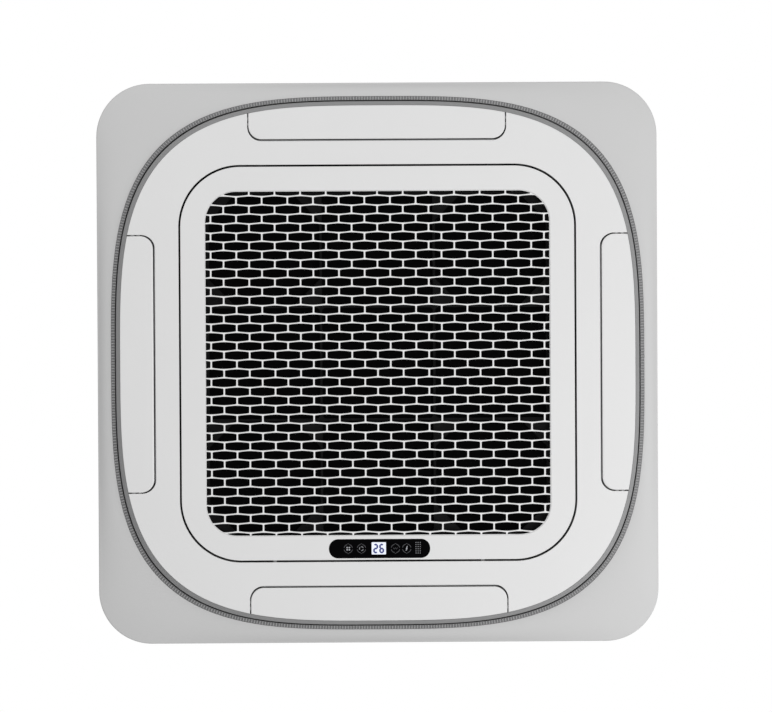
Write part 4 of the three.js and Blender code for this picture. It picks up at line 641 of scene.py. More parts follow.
upstand_foot = panel_back - UPSTAND_SINK
upstand = lofted([
    polar_loop(grille_hole_half + UPSTAND_INSET, panel_high[2], GRILLE_HOLE_CORNER),
    polar_loop(grille_hole_half + UPSTAND_INSET, upstand_foot, GRILLE_HOLE_CORNER),
    polar_loop(grille_hole_half + WALL, upstand_foot, GRILLE_HOLE_CORNER + WALL),
    polar_loop(grille_hole_half + WALL, panel_high[2], GRILLE_HOLE_CORNER + WALL),
])
slots = bmesh.new()
for x in (-HINGE_X, HINGE_X):
    box_into(slots, x - HINGE_SLOT_HALF, x + HINGE_SLOT_HALF, grille_hole_half - OVERCUT,
             grille_hole_half + WALL + OVERCUT, panel_back, slot_top)
centre = carved(upstand, slots)
hole = flat_loop(grille_hole_half - HOLE_LIP, GRILLE_HOLE_CORNER)[::-1]
plate(centre, [notched_outline(), hole], face, panel_back, PLATE_EDGE)
made("centre_face", centre, white_finish, stands_for=["centre_panel"])

# --------------------------------------------------------------------
# Louvers
# Four air guide blades, one for each outlet, in the white of the centre panel. Each is one moulding with a
# stiffening rib behind and a lug at each end, and turns on two round pins in the end walls of its duct.
SIDES = ("right", "back", "left", "front")
LOUVER_CORNER = 0.022
LOUVER_LIP = 0.0034  # soft rounding along the inner edge
LOUVER_EDGE = 0.0008
LOUVER_EDGE_DEPTH = 0.0016
LOUVER_STEPS = 90
STIFFENER_HALF = 0.0015
STIFFENER_HEIGHT = 0.004
ROOT = 0.0005  # how far a rib or a lug reaches into the blade
PIVOT_INSET = 0.025
PIVOT_HEIGHT = 0.008
PIN_RADIUS = 0.003
PIN_LENGTH = 0.008
PIN_SIDES = 28
LUG_RADIUS = 0.0055
LUG_WIDTH = 0.003


def bar_into(bm, centre, radius, start, end, axis="Z", sides=PIN_SIDES):
    """A round bar along X, Y or Z; centre gives its place across that axis, start and end along it."""
    made_bar = bmesh.ops.create_cone(bm, cap_ends=True, segments=sides, radius1=radius, radius2=radius,
                                     depth=end - start)["verts"]
    for vert in made_bar:
        x, y, z = vert.co
        along = z + (start + end) / 2
        if axis == "Z":
            vert.co = (centre[0] + x, centre[1] + y, along)
        elif axis == "Y":
            vert.co = (centre[0] + x, along, centre[1] - y)
        else:
            vert.co = (along, centre[0] + y, centre[1] - x)
    bmesh.ops.recalc_face_normals(bm, faces=list({face for vert in made_bar for face in vert.link_faces}))


def louver_outline():
    """Outline of the blade on the +X side, anticlockwise, its outer edge on the curve of the rim."""
    mouth = ring_across(centre_half, LOUVER_HALF)
    direction = math.degrees(math.atan2(LOUVER_HALF, mouth))
    corner_x = louver_inner + LOUVER_CORNER
    corner_y = LOUVER_HALF - LOUVER_CORNER
    outline = [(mouth, -LOUVER_HALF)]
    outline += ring_arc(centre_half, -direction, direction, LOUVER_STEPS)
    outline += [(mouth, LOUVER_HALF)]
    outline += arc(corner_x, corner_y, LOUVER_CORNER, 90, 180)
    outline += arc(corner_x, -corner_y, LOUVER_CORNER, 180, 270)
    return outline


def louver_lip(x, _):
    """Width of the edge rounding: wide along the inner edge, narrow at the ends and the rim."""
    inward = min(1, max(0, (x - louver_inner) / LOUVER_CORNER))
    return LOUVER_LIP + (LOUVER_EDGE - LOUVER_LIP) * inward


def louver_blade():
    bm = bmesh.new()
    plate(bm, [louver_outline()], face, panel_back, louver_lip, LOUVER_EDGE_DEPTH)
    pivot_x = louver_inner + PIVOT_INSET
    pivot_z = face + PIVOT_HEIGHT
    rib_half = LOUVER_HALF - LOUVER_CORNER
    box_into(bm, pivot_x - STIFFENER_HALF, pivot_x + STIFFENER_HALF, -rib_half, rib_half,
             panel_back - ROOT, panel_back + STIFFENER_HEIGHT)
    for end in (-1, 1):
        outer = end * LOUVER_HALF
        y0, y1 = sorted((outer, outer - end * LUG_WIDTH))
        bar_into(bm, (pivot_x, pivot_z), LUG_RADIUS, y0, y1, "Y")
        box_into(bm, pivot_x - LUG_RADIUS, pivot_x + LUG_RADIUS, y0, y1, panel_back - ROOT, pivot_z)
        y0, y1 = sorted((outer - end * LUG_WIDTH, outer + end * PIN_LENGTH))
        bar_into(bm, (pivot_x, pivot_z), PIN_RADIUS, y0, y1, "Y")
    return bm


for turn, side in enumerate(SIDES):
    blade = louver_blade()
    round_z = Matrix.Rotation(turn * math.pi / 2, 3, "Z")
    bmesh.ops.rotate(blade, verts=blade.verts, cent=(0, 0, 0), matrix=round_z)
    made(f"louver_blade_{side}", blade, white_finish, f"louver_{side}", [f"louver_{side}"])

# --------------------------------------------------------------------
# Grille frame
# The frame of the hinged intake grille: a flat white border with a skirt round its outer edge, an upstand
# that carries the filter, a window for the display, and two gooseneck arms with the hinge pins.
GRILLE_CORNER = 0.102
OPENING_HALF = 0.2921
OPENING_CORNER = 0.053
GRILLE_EDGE = 0.0009
GRILLE_SKIRT = 0.011
GRILLE_WALL_TOP = 0.018
HINGE_PIN_RADIUS = 0.0012
HINGE_PIN_END = 0.0058
HINGE_EYE = 0.0023
HINGE_ARM_CORNER = 0.004
HINGE_ARM_ROOT = 0.001  # how far the arm overlaps the skirt
DISPLAY_ROUND = 0.96
DISPLAY_GAP = 0.0003
CUT_PAST = 0.001
CUT_EDGE = 0.0001

display_low, display_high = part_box("display_lens")


def round_rectangle(x0, x1, y0, y1, radius):
    """Outline of a rectangle with round corners, anticlockwise."""
    outline = []
    for cx, cy, start in ((x1 - radius, y1 - radius, 0), (x0 + radius, y1 - radius, 90),
                          (x0 + radius, y0 + radius, 180), (x1 - radius, y0 + radius, 270)):
        outline += arc(cx, cy, radius, start, start + 90)
    return outline


def display_outline(margin):
    """The long round-ended outline of the display, wider all round by a margin."""
    x0, x1 = display_low[0] - margin, display_high[0] + margin
    y0, y1 = display_low[1] - margin, display_high[1] + margin
    return round_rectangle(x0, x1, y0, y1, (y1 - y0) / 2 * DISPLAY_ROUND)


def hinge_arm(bm, x):
    """Arm from the skirt over the edge of the panel to the two pins, its outer bend rounded."""
    half = WALL / 2
    outer = grille_half - WALL
    foot = face + GRILLE_SKIRT - HINGE_ARM_ROOT
    throat = hinge_z + HINGE_THROAT
    top = throat + WALL
    profile = [(hinge_y + half, hinge_z), (hinge_y + half, top)]
    profile += arc(outer + HINGE_ARM_CORNER, top - HINGE_ARM_CORNER, HINGE_ARM_CORNER, 90, 180)
    profile += [(outer, foot), (grille_half, foot), (grille_half, throat), (hinge_y - half, throat),
                (hinge_y - half, hinge_z)]
    bridged(bm, [[bm.verts.new((x + side * HINGE_ARM_HALF, y, z)) for y, z in profile] for side in (-1, 1)])
    for radius, half_width in ((HINGE_EYE, HINGE_ARM_HALF), (HINGE_PIN_RADIUS, HINGE_PIN_END)):
        bar_into(bm, (hinge_y, hinge_z), radius, x - half_width, x + half_width, "X")


def grille_border():
    skirt_top = face + GRILLE_SKIRT
    wall_top = face + GRILLE_WALL_TOP
    edge_half = grille_half - SEAM_SPREAD
    loops = [polar_loop(edge_half, skirt_top, GRILLE_CORNER)]
    loops += front_edge(edge_half, GRILLE_CORNER, face, GRILLE_EDGE)
    loops += front_edge(OPENING_HALF, OPENING_CORNER, face, GRILLE_EDGE, opening=True)[::-1]
    loops += [
        polar_loop(OPENING_HALF, wall_top, OPENING_CORNER),
        polar_loop(OPENING_HALF + WALL, wall_top, OPENING_CORNER + WALL),
        polar_loop(OPENING_HALF + WALL, panel_back, OPENING_CORNER + WALL),
        polar_loop(edge_half - WALL, panel_back, GRILLE_CORNER - WALL),
        polar_loop(edge_half - WALL, skirt_top, GRILLE_CORNER - WALL),
    ]
    window = bmesh.new()
    plate(window, [display_outline(DISPLAY_GAP)], face - CUT_PAST, panel_back + CUT_PAST, CUT_EDGE)
    border = carved(lofted(loops), window)
    for x in (-HINGE_X, HINGE_X):
        hinge_arm(border, x)
    return border


made("grille_border", grille_border(), white_finish, "intake_grille", ["grille_frame"])

# --------------------------------------------------------------------
# Honeycomb
# The grille itself: rows of wide six-sided cells, each row half a cell along from the last, their long
# edges gently gabled. It is one white moulding pressed into the opening of the grille frame.
CELL_PITCH = 0.0434
ROW_PITCH = 0.015385
ROW_START = 0.0011  # the middle row lies a little off the middle of the opening
CELL_RISE = 0.0017
END_WALL = 0.00285  # between two cells side by side
ROW_WALL = 0.0026  # between two rows
CELL_ROUND = 0.0016
CELL_FLARE = 0.0004
CELL_FLARE_DEPTH = 0.0009
COLUMNS = 17
ROWS = 41
BORDER = 0.0008
COMB_GAP = 0.0002  # to the opening of the grille frame
CORNER_STEPS = 3
GABLE_STEPS = 4
GABLE_POWER = 1.5
SHARP_EDGE = 0.00005

comb_low, comb_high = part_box("honeycomb_grille")
comb_half = OPENING_HALF - COMB_GAP


def cell_outline(grow):
    """One hole, anticlockwise: upright ends with round corners, long edges that rise to the middle."""
    half = (CELL_PITCH - END_WALL) / 2 + grow
    shoulder = (ROW_PITCH - CELL_RISE - ROW_WALL) / 2 + grow
    slope = math.degrees(math.atan2(CELL_RISE, half))
    upper = arc(half - CELL_ROUND, shoulder - CELL_ROUND, CELL_ROUND, 0, 90 - slope, CORNER_STEPS)
    for step in range(GABLE_STEPS - 1, 0, -1):
        x = (half - CELL_ROUND) * step / GABLE_STEPS
        upper.append((x, shoulder + CELL_RISE * (1 - (x / half) ** GABLE_POWER)))
    top = upper + [(0, shoulder + CELL_RISE)] + [(-x, y) for x, y in upper[::-1]]
    return top + [(-x, -y) for x, y in top]


def cell_cutter():
    """The solid that one hole takes out, a little wider at the face."""
    bm = bmesh.new()
    levels = [(comb_low[2] - CUT_PAST, CELL_FLARE), (comb_low[2], CELL_FLARE),
              (comb_low[2] + CELL_FLARE_DEPTH, 0), (comb_high[2] + CUT_PAST, 0)]
    bridged(bm, [[bm.verts.new((x, y, z)) for x, y in cell_outline(grow)] for z, grow in levels])
    return mesh_from(bm, "cell")


def calc(tree, operation, *values):
    """One step of arithmetic on numbers, sockets or nodes."""
    return node(tree, "ShaderNodeMath", dict(enumerate(values)), operation=operation)


def cells_in_rows():
    tree, given, keys = tree_with("honeycomb_from_cells", {
        "Cell": "Object", "Limit": "Object", "Columns": "Int", "Rows": "Int", "Cell Pitch": "Float",
        "Row Pitch": "Float", "Row Start": "Float", "Finish": "Material"})
    grid = node(tree, "GeometryNodeMeshGrid")
    for axis, count, pitch in (("X", "Columns", "Cell Pitch"), ("Y", "Rows", "Row Pitch")):
        span = calc(tree, "MULTIPLY", calc(tree, "SUBTRACT", given[count], 1), given[pitch])
        feed(tree, grid, {"Vertices " + axis: given[count], "Size " + axis: span})
    row = calc(tree, "MODULO", node(tree, "GeometryNodeInputIndex"), given["Rows"])
    half = calc(tree, "MULTIPLY", given["Cell Pitch"], 0.5)
    shift = node(tree, "ShaderNodeCombineXYZ", {
        "X": calc(tree, "MULTIPLY", calc(tree, "MODULO", row, 2), half), "Y": given["Row Start"]})
    bricks = node(tree, "GeometryNodeSetPosition", {"Geometry": grid, "Offset": shift})
    cells = instanced(tree, bricks, given["Cell"])
    solid_cells = node(tree, "GeometryNodeRealizeInstances", {"Geometry": cells})
    limit = node(tree, "GeometryNodeObjectInfo", {"Object": given["Limit"]}).outputs["Geometry"]
    within = node(tree, "GeometryNodeMeshBoolean", {"Mesh 2": solid_cells}, operation="INTERSECT",
                  solver="MANIFOLD")
    feed(tree, within, {"Mesh 2": limit})
    pierced = node(tree, "GeometryNodeMeshBoolean", {"Mesh 1": given["Geometry"], "Mesh 2": within},
                   operation="DIFFERENCE", solver="MANIFOLD")
    ended(tree, pierced, given["Finish"])
    return tree, keys


def prism(half, corner, low, high):
    """A plain upright block with round corners, as a mesh."""
    return mesh_from(plate(bmesh.new(), [flat_loop(half, corner)], low, high, SHARP_EDGE), "prism")


limit = prism(comb_half - BORDER, OPENING_CORNER - BORDER, comb_low[2] - OVERCUT, comb_high[2] + OVERCUT)
comb = grown("honeycomb", prism(comb_half, OPENING_CORNER, comb_low[2], comb_high[2]), *cells_in_rows(), {
    "Cell": cell_cutter(), "Limit": limit, "Columns": COLUMNS, "Rows": ROWS, "Cell Pitch": CELL_PITCH,
    "Row Pitch": ROW_PITCH, "Row Start": ROW_START,
    "Finish": plastic("honeycomb_abs", (0.82, 0.82, 0.82), roughness=0.38)})
placed("honeycomb", comb, "intake_grille", ["honeycomb_grille"])

# --------------------------------------------------------------------
# Display
# A gloss black cover with round ends, set into the grille frame. A lit window in its middle shows the set
# temperature. Four round touch marks, their symbols and a field of dots on either side of it are printed
# marks that are given a faint glow of their own: painted light.
LENS_EDGE = 0.0004
LENS_FRONT = 0.0001  # behind the foremost point of the part
WINDOW_FRONT = 0.00006
SIGN_FRONT = 0.00002
SIGN_DEPTH = 0.0002
SIGN_EDGE = 0.00002
SIGN_Y = 0.3140
WINDOW = (-0.0124, 0.0119, 0.3033, 0.3240)
WINDOW_CORNER = 0.0012
DIGIT_HEIGHT = 0.0163
DIGIT_WIDTH = 0.0084
DIGIT_STROKE = 0.0029
# the middle of each digit, and its bars from the top, clockwise, the middle bar last
DIGITS = ((-0.0056, "abdeg"), (0.0046, "acdefg"))
MARK_PLACES = (-0.0520, -0.0297, 0.0279, 0.0470)
MARK_RADIUS = 0.0072
MARK_LINE = 0.0011
MARK_ARC = 66
MARK_GAP = 24
TICK_OFFSET = 0.0083
TICK = 0.0008
WAVE_STEP = 0.0018
WAVE_RISE = 0.0012
WAVE_LINE = 0.0007
PETAL_OFFSET = 0.0026
PETAL_RADIUS = 0.0013
BOLT = ((0.0480, -0.0034, 0.0462, 0.0003), (0.0478, -0.0003, 0.0460, 0.0034))
BOLT_LINE = 0.0012
DOT_RADIUS = 0.0008
DOT_PITCH = 0.0036
DOT_START = (0.0627, 0.3040)
DOT_COLUMNS, DOT_ROWS = 3, 6
SWIRL_RADIUS = 0.0033
SWIRL_LINE = 0.0012
SWIRL_ARC = 75


def glowing(name, colour, patch=0.05):
    """A face that glows behind dark acrylic, a little uneven as light from a few diodes is. On the window and
    digits the glow is their backlight; on the printed marks it is painted light.
    """
    material, tree, place = new_finish(name, {
        "Base Color": (0.01, 0.01, 0.012, 1), "Roughness": 0.5, "Emission Strength": 1})
    tinted(tree, noise(tree, place, 160).outputs["Fac"], shaded(colour, 1 - patch), shaded(colour, 1 + patch),
           "Emission Color")
    return material


def lit_and_painted_glow_signs(name, outlines, finish, colour, front=SIGN_FRONT):
    """Thin raised shapes on the cover, glowing in one colour: backlit for the window and digits, painted
    light for the printed marks.
    """
    bm = bmesh.new()
    z = display_low[2] + front
    for outline in outlines:
        plate(bm, [outline], z, z + SIGN_DEPTH, SIGN_EDGE)
    made(name, bm, glowing(finish, colour), "intake_grille")


def stroke(start, end, width):
    """A start and an end as vectors, and half the stroke's width along and across it."""
    along = (Vector(end) - Vector(start)).normalized() * width / 2
    return Vector(start), Vector(end), along, Vector((-along.y, along.x))


def digit_bar(letter, cx):
    """Outline of one bar of a seven-part digit; the top of the digit is at the smaller Y."""
    w = (DIGIT_WIDTH - DIGIT_STROKE) / 2
    h = (DIGIT_HEIGHT - DIGIT_STROKE) / 2
    x0, y0, x1, y1 = {"a": (-w, -h, w, -h), "b": (w, -h, w, 0), "c": (w, 0, w, h), "d": (-w, h, w, h),
                      "e": (-w, 0, -w, h), "f": (-w, -h, -w, 0), "g": (-w, 0, w, 0)}[letter]
    start, end, along, side = stroke((cx + x0, SIGN_Y + y0), (cx + x1, SIGN_Y + y1), DIGIT_STROKE)
    return [start, start + along - side, end - along - side, end, end - along + side, start + along + side]


def bar_shape(x0, y0, x1, y1, width):
    """Outline of a straight stroke between two points, given from the middle of the signs in Y."""
    start, end, along, side = stroke((x0, SIGN_Y + y0), (x1, SIGN_Y + y1), width)
    return [start - along - side, end + along - side, end + along + side, start - along + side]


def ring_part(cx, radius, line, start, turn, steps=24):
    """Outline of part of a thin ring, from a direction through a turn, in degrees."""
    outer = arc(cx, SIGN_Y, radius + line / 2, start, start + turn, steps)
    return outer + arc(cx, SIGN_Y, radius - line / 2, start, start + turn, steps)[::-1]


def disc(cx, cy, radius):
    return arc(cx, cy, radius, 0, 360, 16)[:-1]


lens_finish = plastic("gloss_black_acrylic", (0.0012, 0.0012, 0.0015), roughness=0.16, mottle=0.2, grain=60,
                      relief=0.000002, sheen_spread=0.03, specular=0.03)
cover = plate(bmesh.new(), [display_outline(0)], display_low[2] + LENS_FRONT, display_high[2], LENS_EDGE)
made("display_cover", cover, lens_finish, "intake_grille", ["display_lens"])

window = round_rectangle(*WINDOW, WINDOW_CORNER)
lit_and_painted_glow_signs("display_window", [window], "white_diffuser", (0.86, 0.90, 1.0), WINDOW_FRONT)

bars = [digit_bar(letter, cx) for cx, letters in DIGITS for letter in letters]
lit_and_painted_glow_signs("display_digits", bars, "blue_digits", (0.018, 0.034, 0.20))

# painted light: the printed touch rings, ticks and wave glow faintly, though they are no lamps
rings = []
for cx in MARK_PLACES:
    for quarter in range(4):
        rings.append(ring_part(cx, MARK_RADIUS, MARK_LINE, MARK_GAP / 2 + 90 * quarter, MARK_ARC))
    for dy in (-TICK_OFFSET, TICK_OFFSET):
        rings.append(bar_shape(cx - TICK, dy, cx + TICK, dy, TICK))
for step in range(4):
    x = MARK_PLACES[2] + (step - 2) * WAVE_STEP
    rise = WAVE_RISE * (1 if step % 2 else -1)
    rings.append(bar_shape(x, rise, x + WAVE_STEP, -rise, WAVE_LINE))
lit_and_painted_glow_signs("display_rings", rings, "faint_marks", (0.028, 0.029, 0.032))

# painted light: the printed symbols glow, though they are no lamps
petals = [disc(MARK_PLACES[0] + x, SIGN_Y + y, PETAL_RADIUS) for x, y in arc(0, 0, PETAL_OFFSET, 45, 315, 3)]
symbols = petals + [bar_shape(*part, BOLT_LINE) for part in BOLT]
lit_and_painted_glow_signs("display_symbols", symbols, "bright_marks", (0.34, 0.35, 0.37))

# painted light: the printed dots and swirl glow, though they are no lamps
dots = [disc(DOT_START[0] + column * DOT_PITCH, DOT_START[1] + row * DOT_PITCH, DOT_RADIUS)
        for column in range(DOT_COLUMNS) for row in range(DOT_ROWS)]
swirl = [ring_part(MARK_PLACES[1], SWIRL_RADIUS, SWIRL_LINE, start, SWIRL_ARC, 8) for start in (20, 150, 260)]
lit_and_painted_glow_signs("display_dots", dots + swirl, "dot_field", (0.20, 0.205, 0.215))

# --------------------------------------------------------------------
# Air filter
# A washable dark net in a moulded lattice, laid on the upstand behind the honeycomb. It hides the inside of
# the unit from the room.
NET_PITCH = 0.0016
WAVE_PERIOD = 0.314  # of the wave texture at a scale of 1


def woven_net(name, colour, pitch):
    """Knotted net of round threads; the holes between them are painted nearly black, as painted shade of the
    inside seen through them.
    """
    material, tree, place = new_finish(name, {"Roughness": 0.9, "Specular IOR Level": 0.01})
    threads = [node(tree, "ShaderNodeTexWave", {"Scale": WAVE_PERIOD / pitch, "Vector": place},
                    bands_direction=axis).outputs["Fac"] for axis in "XY"]
    upper = calc(tree, "MAXIMUM", *threads)
    # painted shade: the holes of the net are nearly black, for the dark inside of the unit behind them
    tinted(tree, upper, (0.0002, 0.0002, 0.0002), colour)
    embossed(tree, upper, 0.8, pitch / 4)
    return material


def finished(material, *names):
    """CAD pieces whose shape stays and that get the finish."""
    for name in names:
        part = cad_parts[name]
        part.data.materials.clear()
        part.data.materials.append(material)


net_colour = (0.004, 0.004, 0.0043)
finished(woven_net("filter_net", net_colour, NET_PITCH), "filter_mesh")
finished(plastic("filter_lattice", net_colour, roughness=0.6, specular=0.12), "filter_frame")

# --------------------------------------------------------------------
# Hinges and catches
# Behind the edge of the centre panel: two brackets whose cheeks hold the hinge pins of the grille, and two
# black catches with a sprung plunger each, pressed through the grille frame from below.
grey_finish = plastic("grey_abs", (0.40, 0.405, 0.41), roughness=0.5)
black_finish = plastic("black_polyamide", (0.012, 0.012, 0.0125), roughness=0.5, mottle=0.1)
for side in ("left", "right"):
    finished(grey_finish, f"hinge_bracket_{side}", f"catch_plunger_{side}")
    finished(black_finish, f"catch_housing_{side}")
finished(black_finish, *[f"louver_motor_{side}" for side in SIDES])

# --------------------------------------------------------------------
# Panel base, ducts and gasket
# The flat back of the panel and the four ducts to the louvers are grey mouldings. A strip of black foam
# seals the panel to the body.


def foam(name, colour, cell, roughness, shade, strength, depth, softness=0):
    """Foam whose cells or beads show, each a little darker towards its sunken edge: painted shade in the
    hollows between them.
    """
    material, tree, place = new_finish(name, {
        "Roughness": roughness, "Subsurface Weight": softness, "Subsurface Scale": 0.004})
    share = node(tree, "ShaderNodeTexVoronoi", {"Scale": 1 / cell, "Vector": place}).outputs["Distance"]
    # painted shade: each cell or bead is darker towards its sunken edge
    tinted(tree, share, colour, shaded(colour, shade))
    embossed(tree, share, strength, depth, invert=True)
    return material


finished(grey_finish, "panel_base", *[f"outlet_duct_{side}" for side in SIDES])
finished(foam("gasket_foam", (0.018, 0.018, 0.02), 0.0012, 0.92, 0.86, 0.6, 0.0004), "panel_seal")

# --------------------------------------------------------------------
# Casing, cover and brackets
# Galvanised sheet, folded and screwed: the wall of the body, its top cover, the hanger brackets, the cover
# over the pipe window and the electrical box. The zinc shows its crystals.
CRYSTAL_BEND = 0.02  # how much the noise bends the edges of the crystals
BEND_SCALE = 60
CRYSTAL_SHADES = (0.88, 1.08)
CRYSTAL_GLOSS = (0.36, 0.52)


def zinc_sheet(name, colour=(0.56, 0.58, 0.60), crystal=0.011):
    """Zinc whose crystals differ a little in shade and in gloss."""
    material, tree, place = new_finish(name, {"Metallic": 0.9})
    shifted = node(tree, "ShaderNodeMix", {
        "Factor": CRYSTAL_BEND, "A": place, "B": noise(tree, place, BEND_SCALE).outputs["Color"]},
        data_type="VECTOR")
    crystals = node(tree, "ShaderNodeTexVoronoi", {"Scale": 1 / crystal, "Vector": shifted.outputs[1]})
    shade = node(tree, "ShaderNodeSeparateColor", {"Color": crystals.outputs["Color"]})
    tinted(tree, shade.outputs["Red"], *[shaded(colour, share) for share in CRYSTAL_SHADES])
    glossed(tree, shade.outputs["Green"], *CRYSTAL_GLOSS)
    return material


finished(zinc_sheet("galvanised_sheet"), "casing_wall", "top_cover", "coil_end_plate", "pipe_cover",
         "pump_bracket", "control_box", "control_box_cover", "hanger_bracket_back_right",
         "hanger_bracket_back_left", "hanger_bracket_front_left", "hanger_bracket_front_right")

# --------------------------------------------------------------------
# Screws
# Pan-headed sheet-metal screws: round the rim of the top cover, in the pipe cover, in the hanger brackets
# and in the cover of the electrical box.
SCREW_RADIUS = 0.0042
SCREW_HEAD = 0.0021
SCREW_RECESS = 0.0017
SCREW_SIDES = 12
RIM_DROP = 0.007
COVER_SCREWS = (-0.300, -0.180, -0.060, 0.060, 0.180, 0.300)
PIPE_COVER_INSET = 0.006
BOX_COVER_INSET = 0.008
BRACKET_FACE = 0.5437  # from the axis to the face of the bracket's plate, on the diagonal
BRACKET_OFFSET = 0.040
BRACKET_HEIGHTS = (0.082, 0.108)

cover_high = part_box("top_cover")[1]
wall_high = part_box("casing_wall")[1]
pipe_low, pipe_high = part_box("pipe_cover")
box_low, box_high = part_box("control_box_cover")


def screw_head():
    """One head along Z, its six-sided recess open."""
    bm = bmesh.new()
    loops = []
    for radius, z in ((SCREW_RADIUS, 0), (SCREW_RADIUS, SCREW_HEAD * 0.45), (SCREW_RADIUS * 0.72, SCREW_HEAD),
                      (SCREW_RECESS, SCREW_HEAD), (SCREW_RECESS * 0.9, SCREW_HEAD * 0.4)):
        loop = []
        for i in range(SCREW_SIDES):
            angle = 2 * math.pi * i / SCREW_SIDES
            reach = radius * (0.8 if radius <= SCREW_RECESS and i % 2 == 0 else 1)
            loop.append(bm.verts.new((reach * math.cos(angle), reach * math.sin(angle), z)))
        loops.append(loop)
    return mesh_from(bridged(bm, loops), "screw")


def things_at_points():
    tree, given, keys = tree_with("things_at_points", {
        "Thing": "Object", "Size": "Float", "Finish": "Material"})
    outwards = node(tree, "GeometryNodeInputNamedAttribute", {"Name": "outwards"}, data_type="FLOAT_VECTOR")
    facing = node(tree, "FunctionNodeAlignRotationToVector", {"Vector": outwards.outputs["Attribute"]},
                  axis="Z")
    things = instanced(tree, given["Geometry"], given["Thing"], Rotation=facing, Scale=given["Size"])
    ended(tree, things, given["Finish"])
    return tree, keys


# the place of each screw and the direction that its head faces
spots = []
for side in range(4):
    for along in COVER_SCREWS:
        place = (*turned_side((cover_high[0], along), side), wall_high[2] - RIM_DROP)
        spots.append((place, (*turned_side((1, 0), side), 0)))
for y in (pipe_low[1] + PIPE_COVER_INSET, pipe_high[1] - PIPE_COVER_INSET):
    for z in (pipe_low[2] + PIPE_COVER_INSET, pipe_high[2] - PIPE_COVER_INSET):
        spots.append(((pipe_high[0], y, z), (1, 0, 0)))
for corner in range(4):
    angle = math.radians(45 + 90 * corner)
    c, s = math.cos(angle), math.sin(angle)
    for offset in (-BRACKET_OFFSET, BRACKET_OFFSET):
        for z in BRACKET_HEIGHTS:
            spots.append(((BRACKET_FACE * c - offset * s, BRACKET_FACE * s + offset * c, z), (c, s, 0)))
for x in (box_low[0] + BOX_COVER_INSET, box_high[0] - BOX_COVER_INSET):
    for y in (box_low[1] + BOX_COVER_INSET, box_high[1] - BOX_COVER_INSET):
        spots.append(((x, y, box_low[2]), (0, 0, -1)))
places = bpy.data.meshes.new("screw_places")
places.from_pydata([place for place, _ in spots], [], [])
directions = places.attributes.new("outwards", "FLOAT_VECTOR", "POINT")
for item, (_, direction) in zip(directions.data, spots):
    item.vector = direction
screws = grown("sheet_metal_screws", places, *things_at_points(), {
    "Thing": screw_head(), "Size": 1.0, "Finish": zinc_sheet("screw_zinc", (0.62, 0.63, 0.63), 0.0016)})
if "outwards" in screws.attributes:
    screws.attributes.remove(screws.attributes["outwards"])
placed("sheet_metal_screws", screws)

# --------------------------------------------------------------------
# Foam lining and drain pan
# Expanded polystyrene mouldings that carry the coil and catch the water under it. Fused beads show on their
# faces.
BEAD = 0.0034

polystyrene = foam("polystyrene", (0.78, 0.77, 0.73), BEAD, 0.8, 0.9, 0.5, BEAD / 6, softness=0.08)
finished(polystyrene, "foam_liner", "drain_pan")

# --------------------------------------------------------------------
# Coil
# Aluminium fins pressed on copper tubes, bent round the fan. Only its face can be seen, deep in the body.
FIN_PITCH = 0.0016


def fin_faces(name, pitch):
    """Edges of many thin fins: bright edges and dark slots between them, along X and along Y; the dark of the
    slots is painted shade.
    """
    material, tree, place = new_finish(name, {"Metallic": 0.85, "Roughness": 0.42})
    across = node(tree, "ShaderNodeSeparateXYZ", {"Vector": place})
    along = calc(tree, "ADD", across.outputs["X"], across.outputs["Y"])
    share = node(tree, "ShaderNodeMapRange", {
        "From Max": pitch, "Value": calc(tree, "PINGPONG", along, pitch)})
    # painted shade: the slots between the fins are dark, the fin edges bright
    tinted(tree, share, (0.10, 0.10, 0.11), (0.66, 0.67, 0.68))
    return material


finished(fin_faces("coil_fins", FIN_PITCH), "heat_exchanger")

# --------------------------------------------------------------------
# Refrigerant pipes
# Two drawn copper pipes from the end of the coil, bent out through the casing, each with a brass flare nut.
PIPE_X = 0.321
PIPE_START_Y = -0.2071
PIPE_ROW_Y = -0.246
PIPE_BEND = 0.024
PIPE_SIDES = 36
PIPE_BORE = 0.86  # of the outer radius
BORE_DEPTH = 0.012
BEND_STEPS = 14
TARNISH_SCALE = 26
TARNISH_SHADE = 0.8
NUT_SIDES = 48
NUT_FACE = 0.97  # of the apothem
NUT_POINT = 1.16
NUT_WALL = 0.00387
NUT_CHAMFER = 0.0014
NUT_GAP = 0.0002
NUT_SEAT = 0.0003


def tube_into(bm, path, radius, bore, depth=BORE_DEPTH):
    """A round bar along a path of points that starts level; its last end is hollow to a depth."""
    normal = Vector((0, 0, 1))
    loops = []

    def ring(middle, reach):
        angles = [2 * math.pi * k / PIPE_SIDES for k in range(PIPE_SIDES)]
        return [bm.verts.new(middle + reach * (normal * math.cos(a) + side * math.sin(a))) for a in angles]

    for i, point in enumerate(path):
        ahead = (path[min(i + 1, len(path) - 1)] - path[max(i - 1, 0)]).normalized()
        normal = (normal - ahead * normal.dot(ahead)).normalized()
        side = ahead.cross(normal)
        loops.append(ring(point, radius))
    loops += [ring(path[-1], bore), ring(path[-1] - ahead * depth, bore)]
    bridged(bm, loops)


def bend(start, corner, end):
    """Points on a smooth bend from start to end that heads for the corner."""
    shares = [step / BEND_STEPS for step in range(BEND_STEPS + 1)]
    return [start * (1 - t) ** 2 + corner * (2 * t * (1 - t)) + end * t ** 2 for t in shares]


def drawn_metal(name, colour, roughness, streak=380):
    """Drawn or turned metal: fine streaks, a little tarnish."""
    material, tree, place = new_finish(name, {"Metallic": 1})
    tarnish = noise(tree, place, TARNISH_SCALE, 5).outputs["Fac"]
    tinted(tree, tarnish, shaded(colour, TARNISH_SHADE), colour)
    glossed(tree, noise(tree, place, streak).outputs["Fac"], roughness - 0.08, roughness + 0.1)
    return material


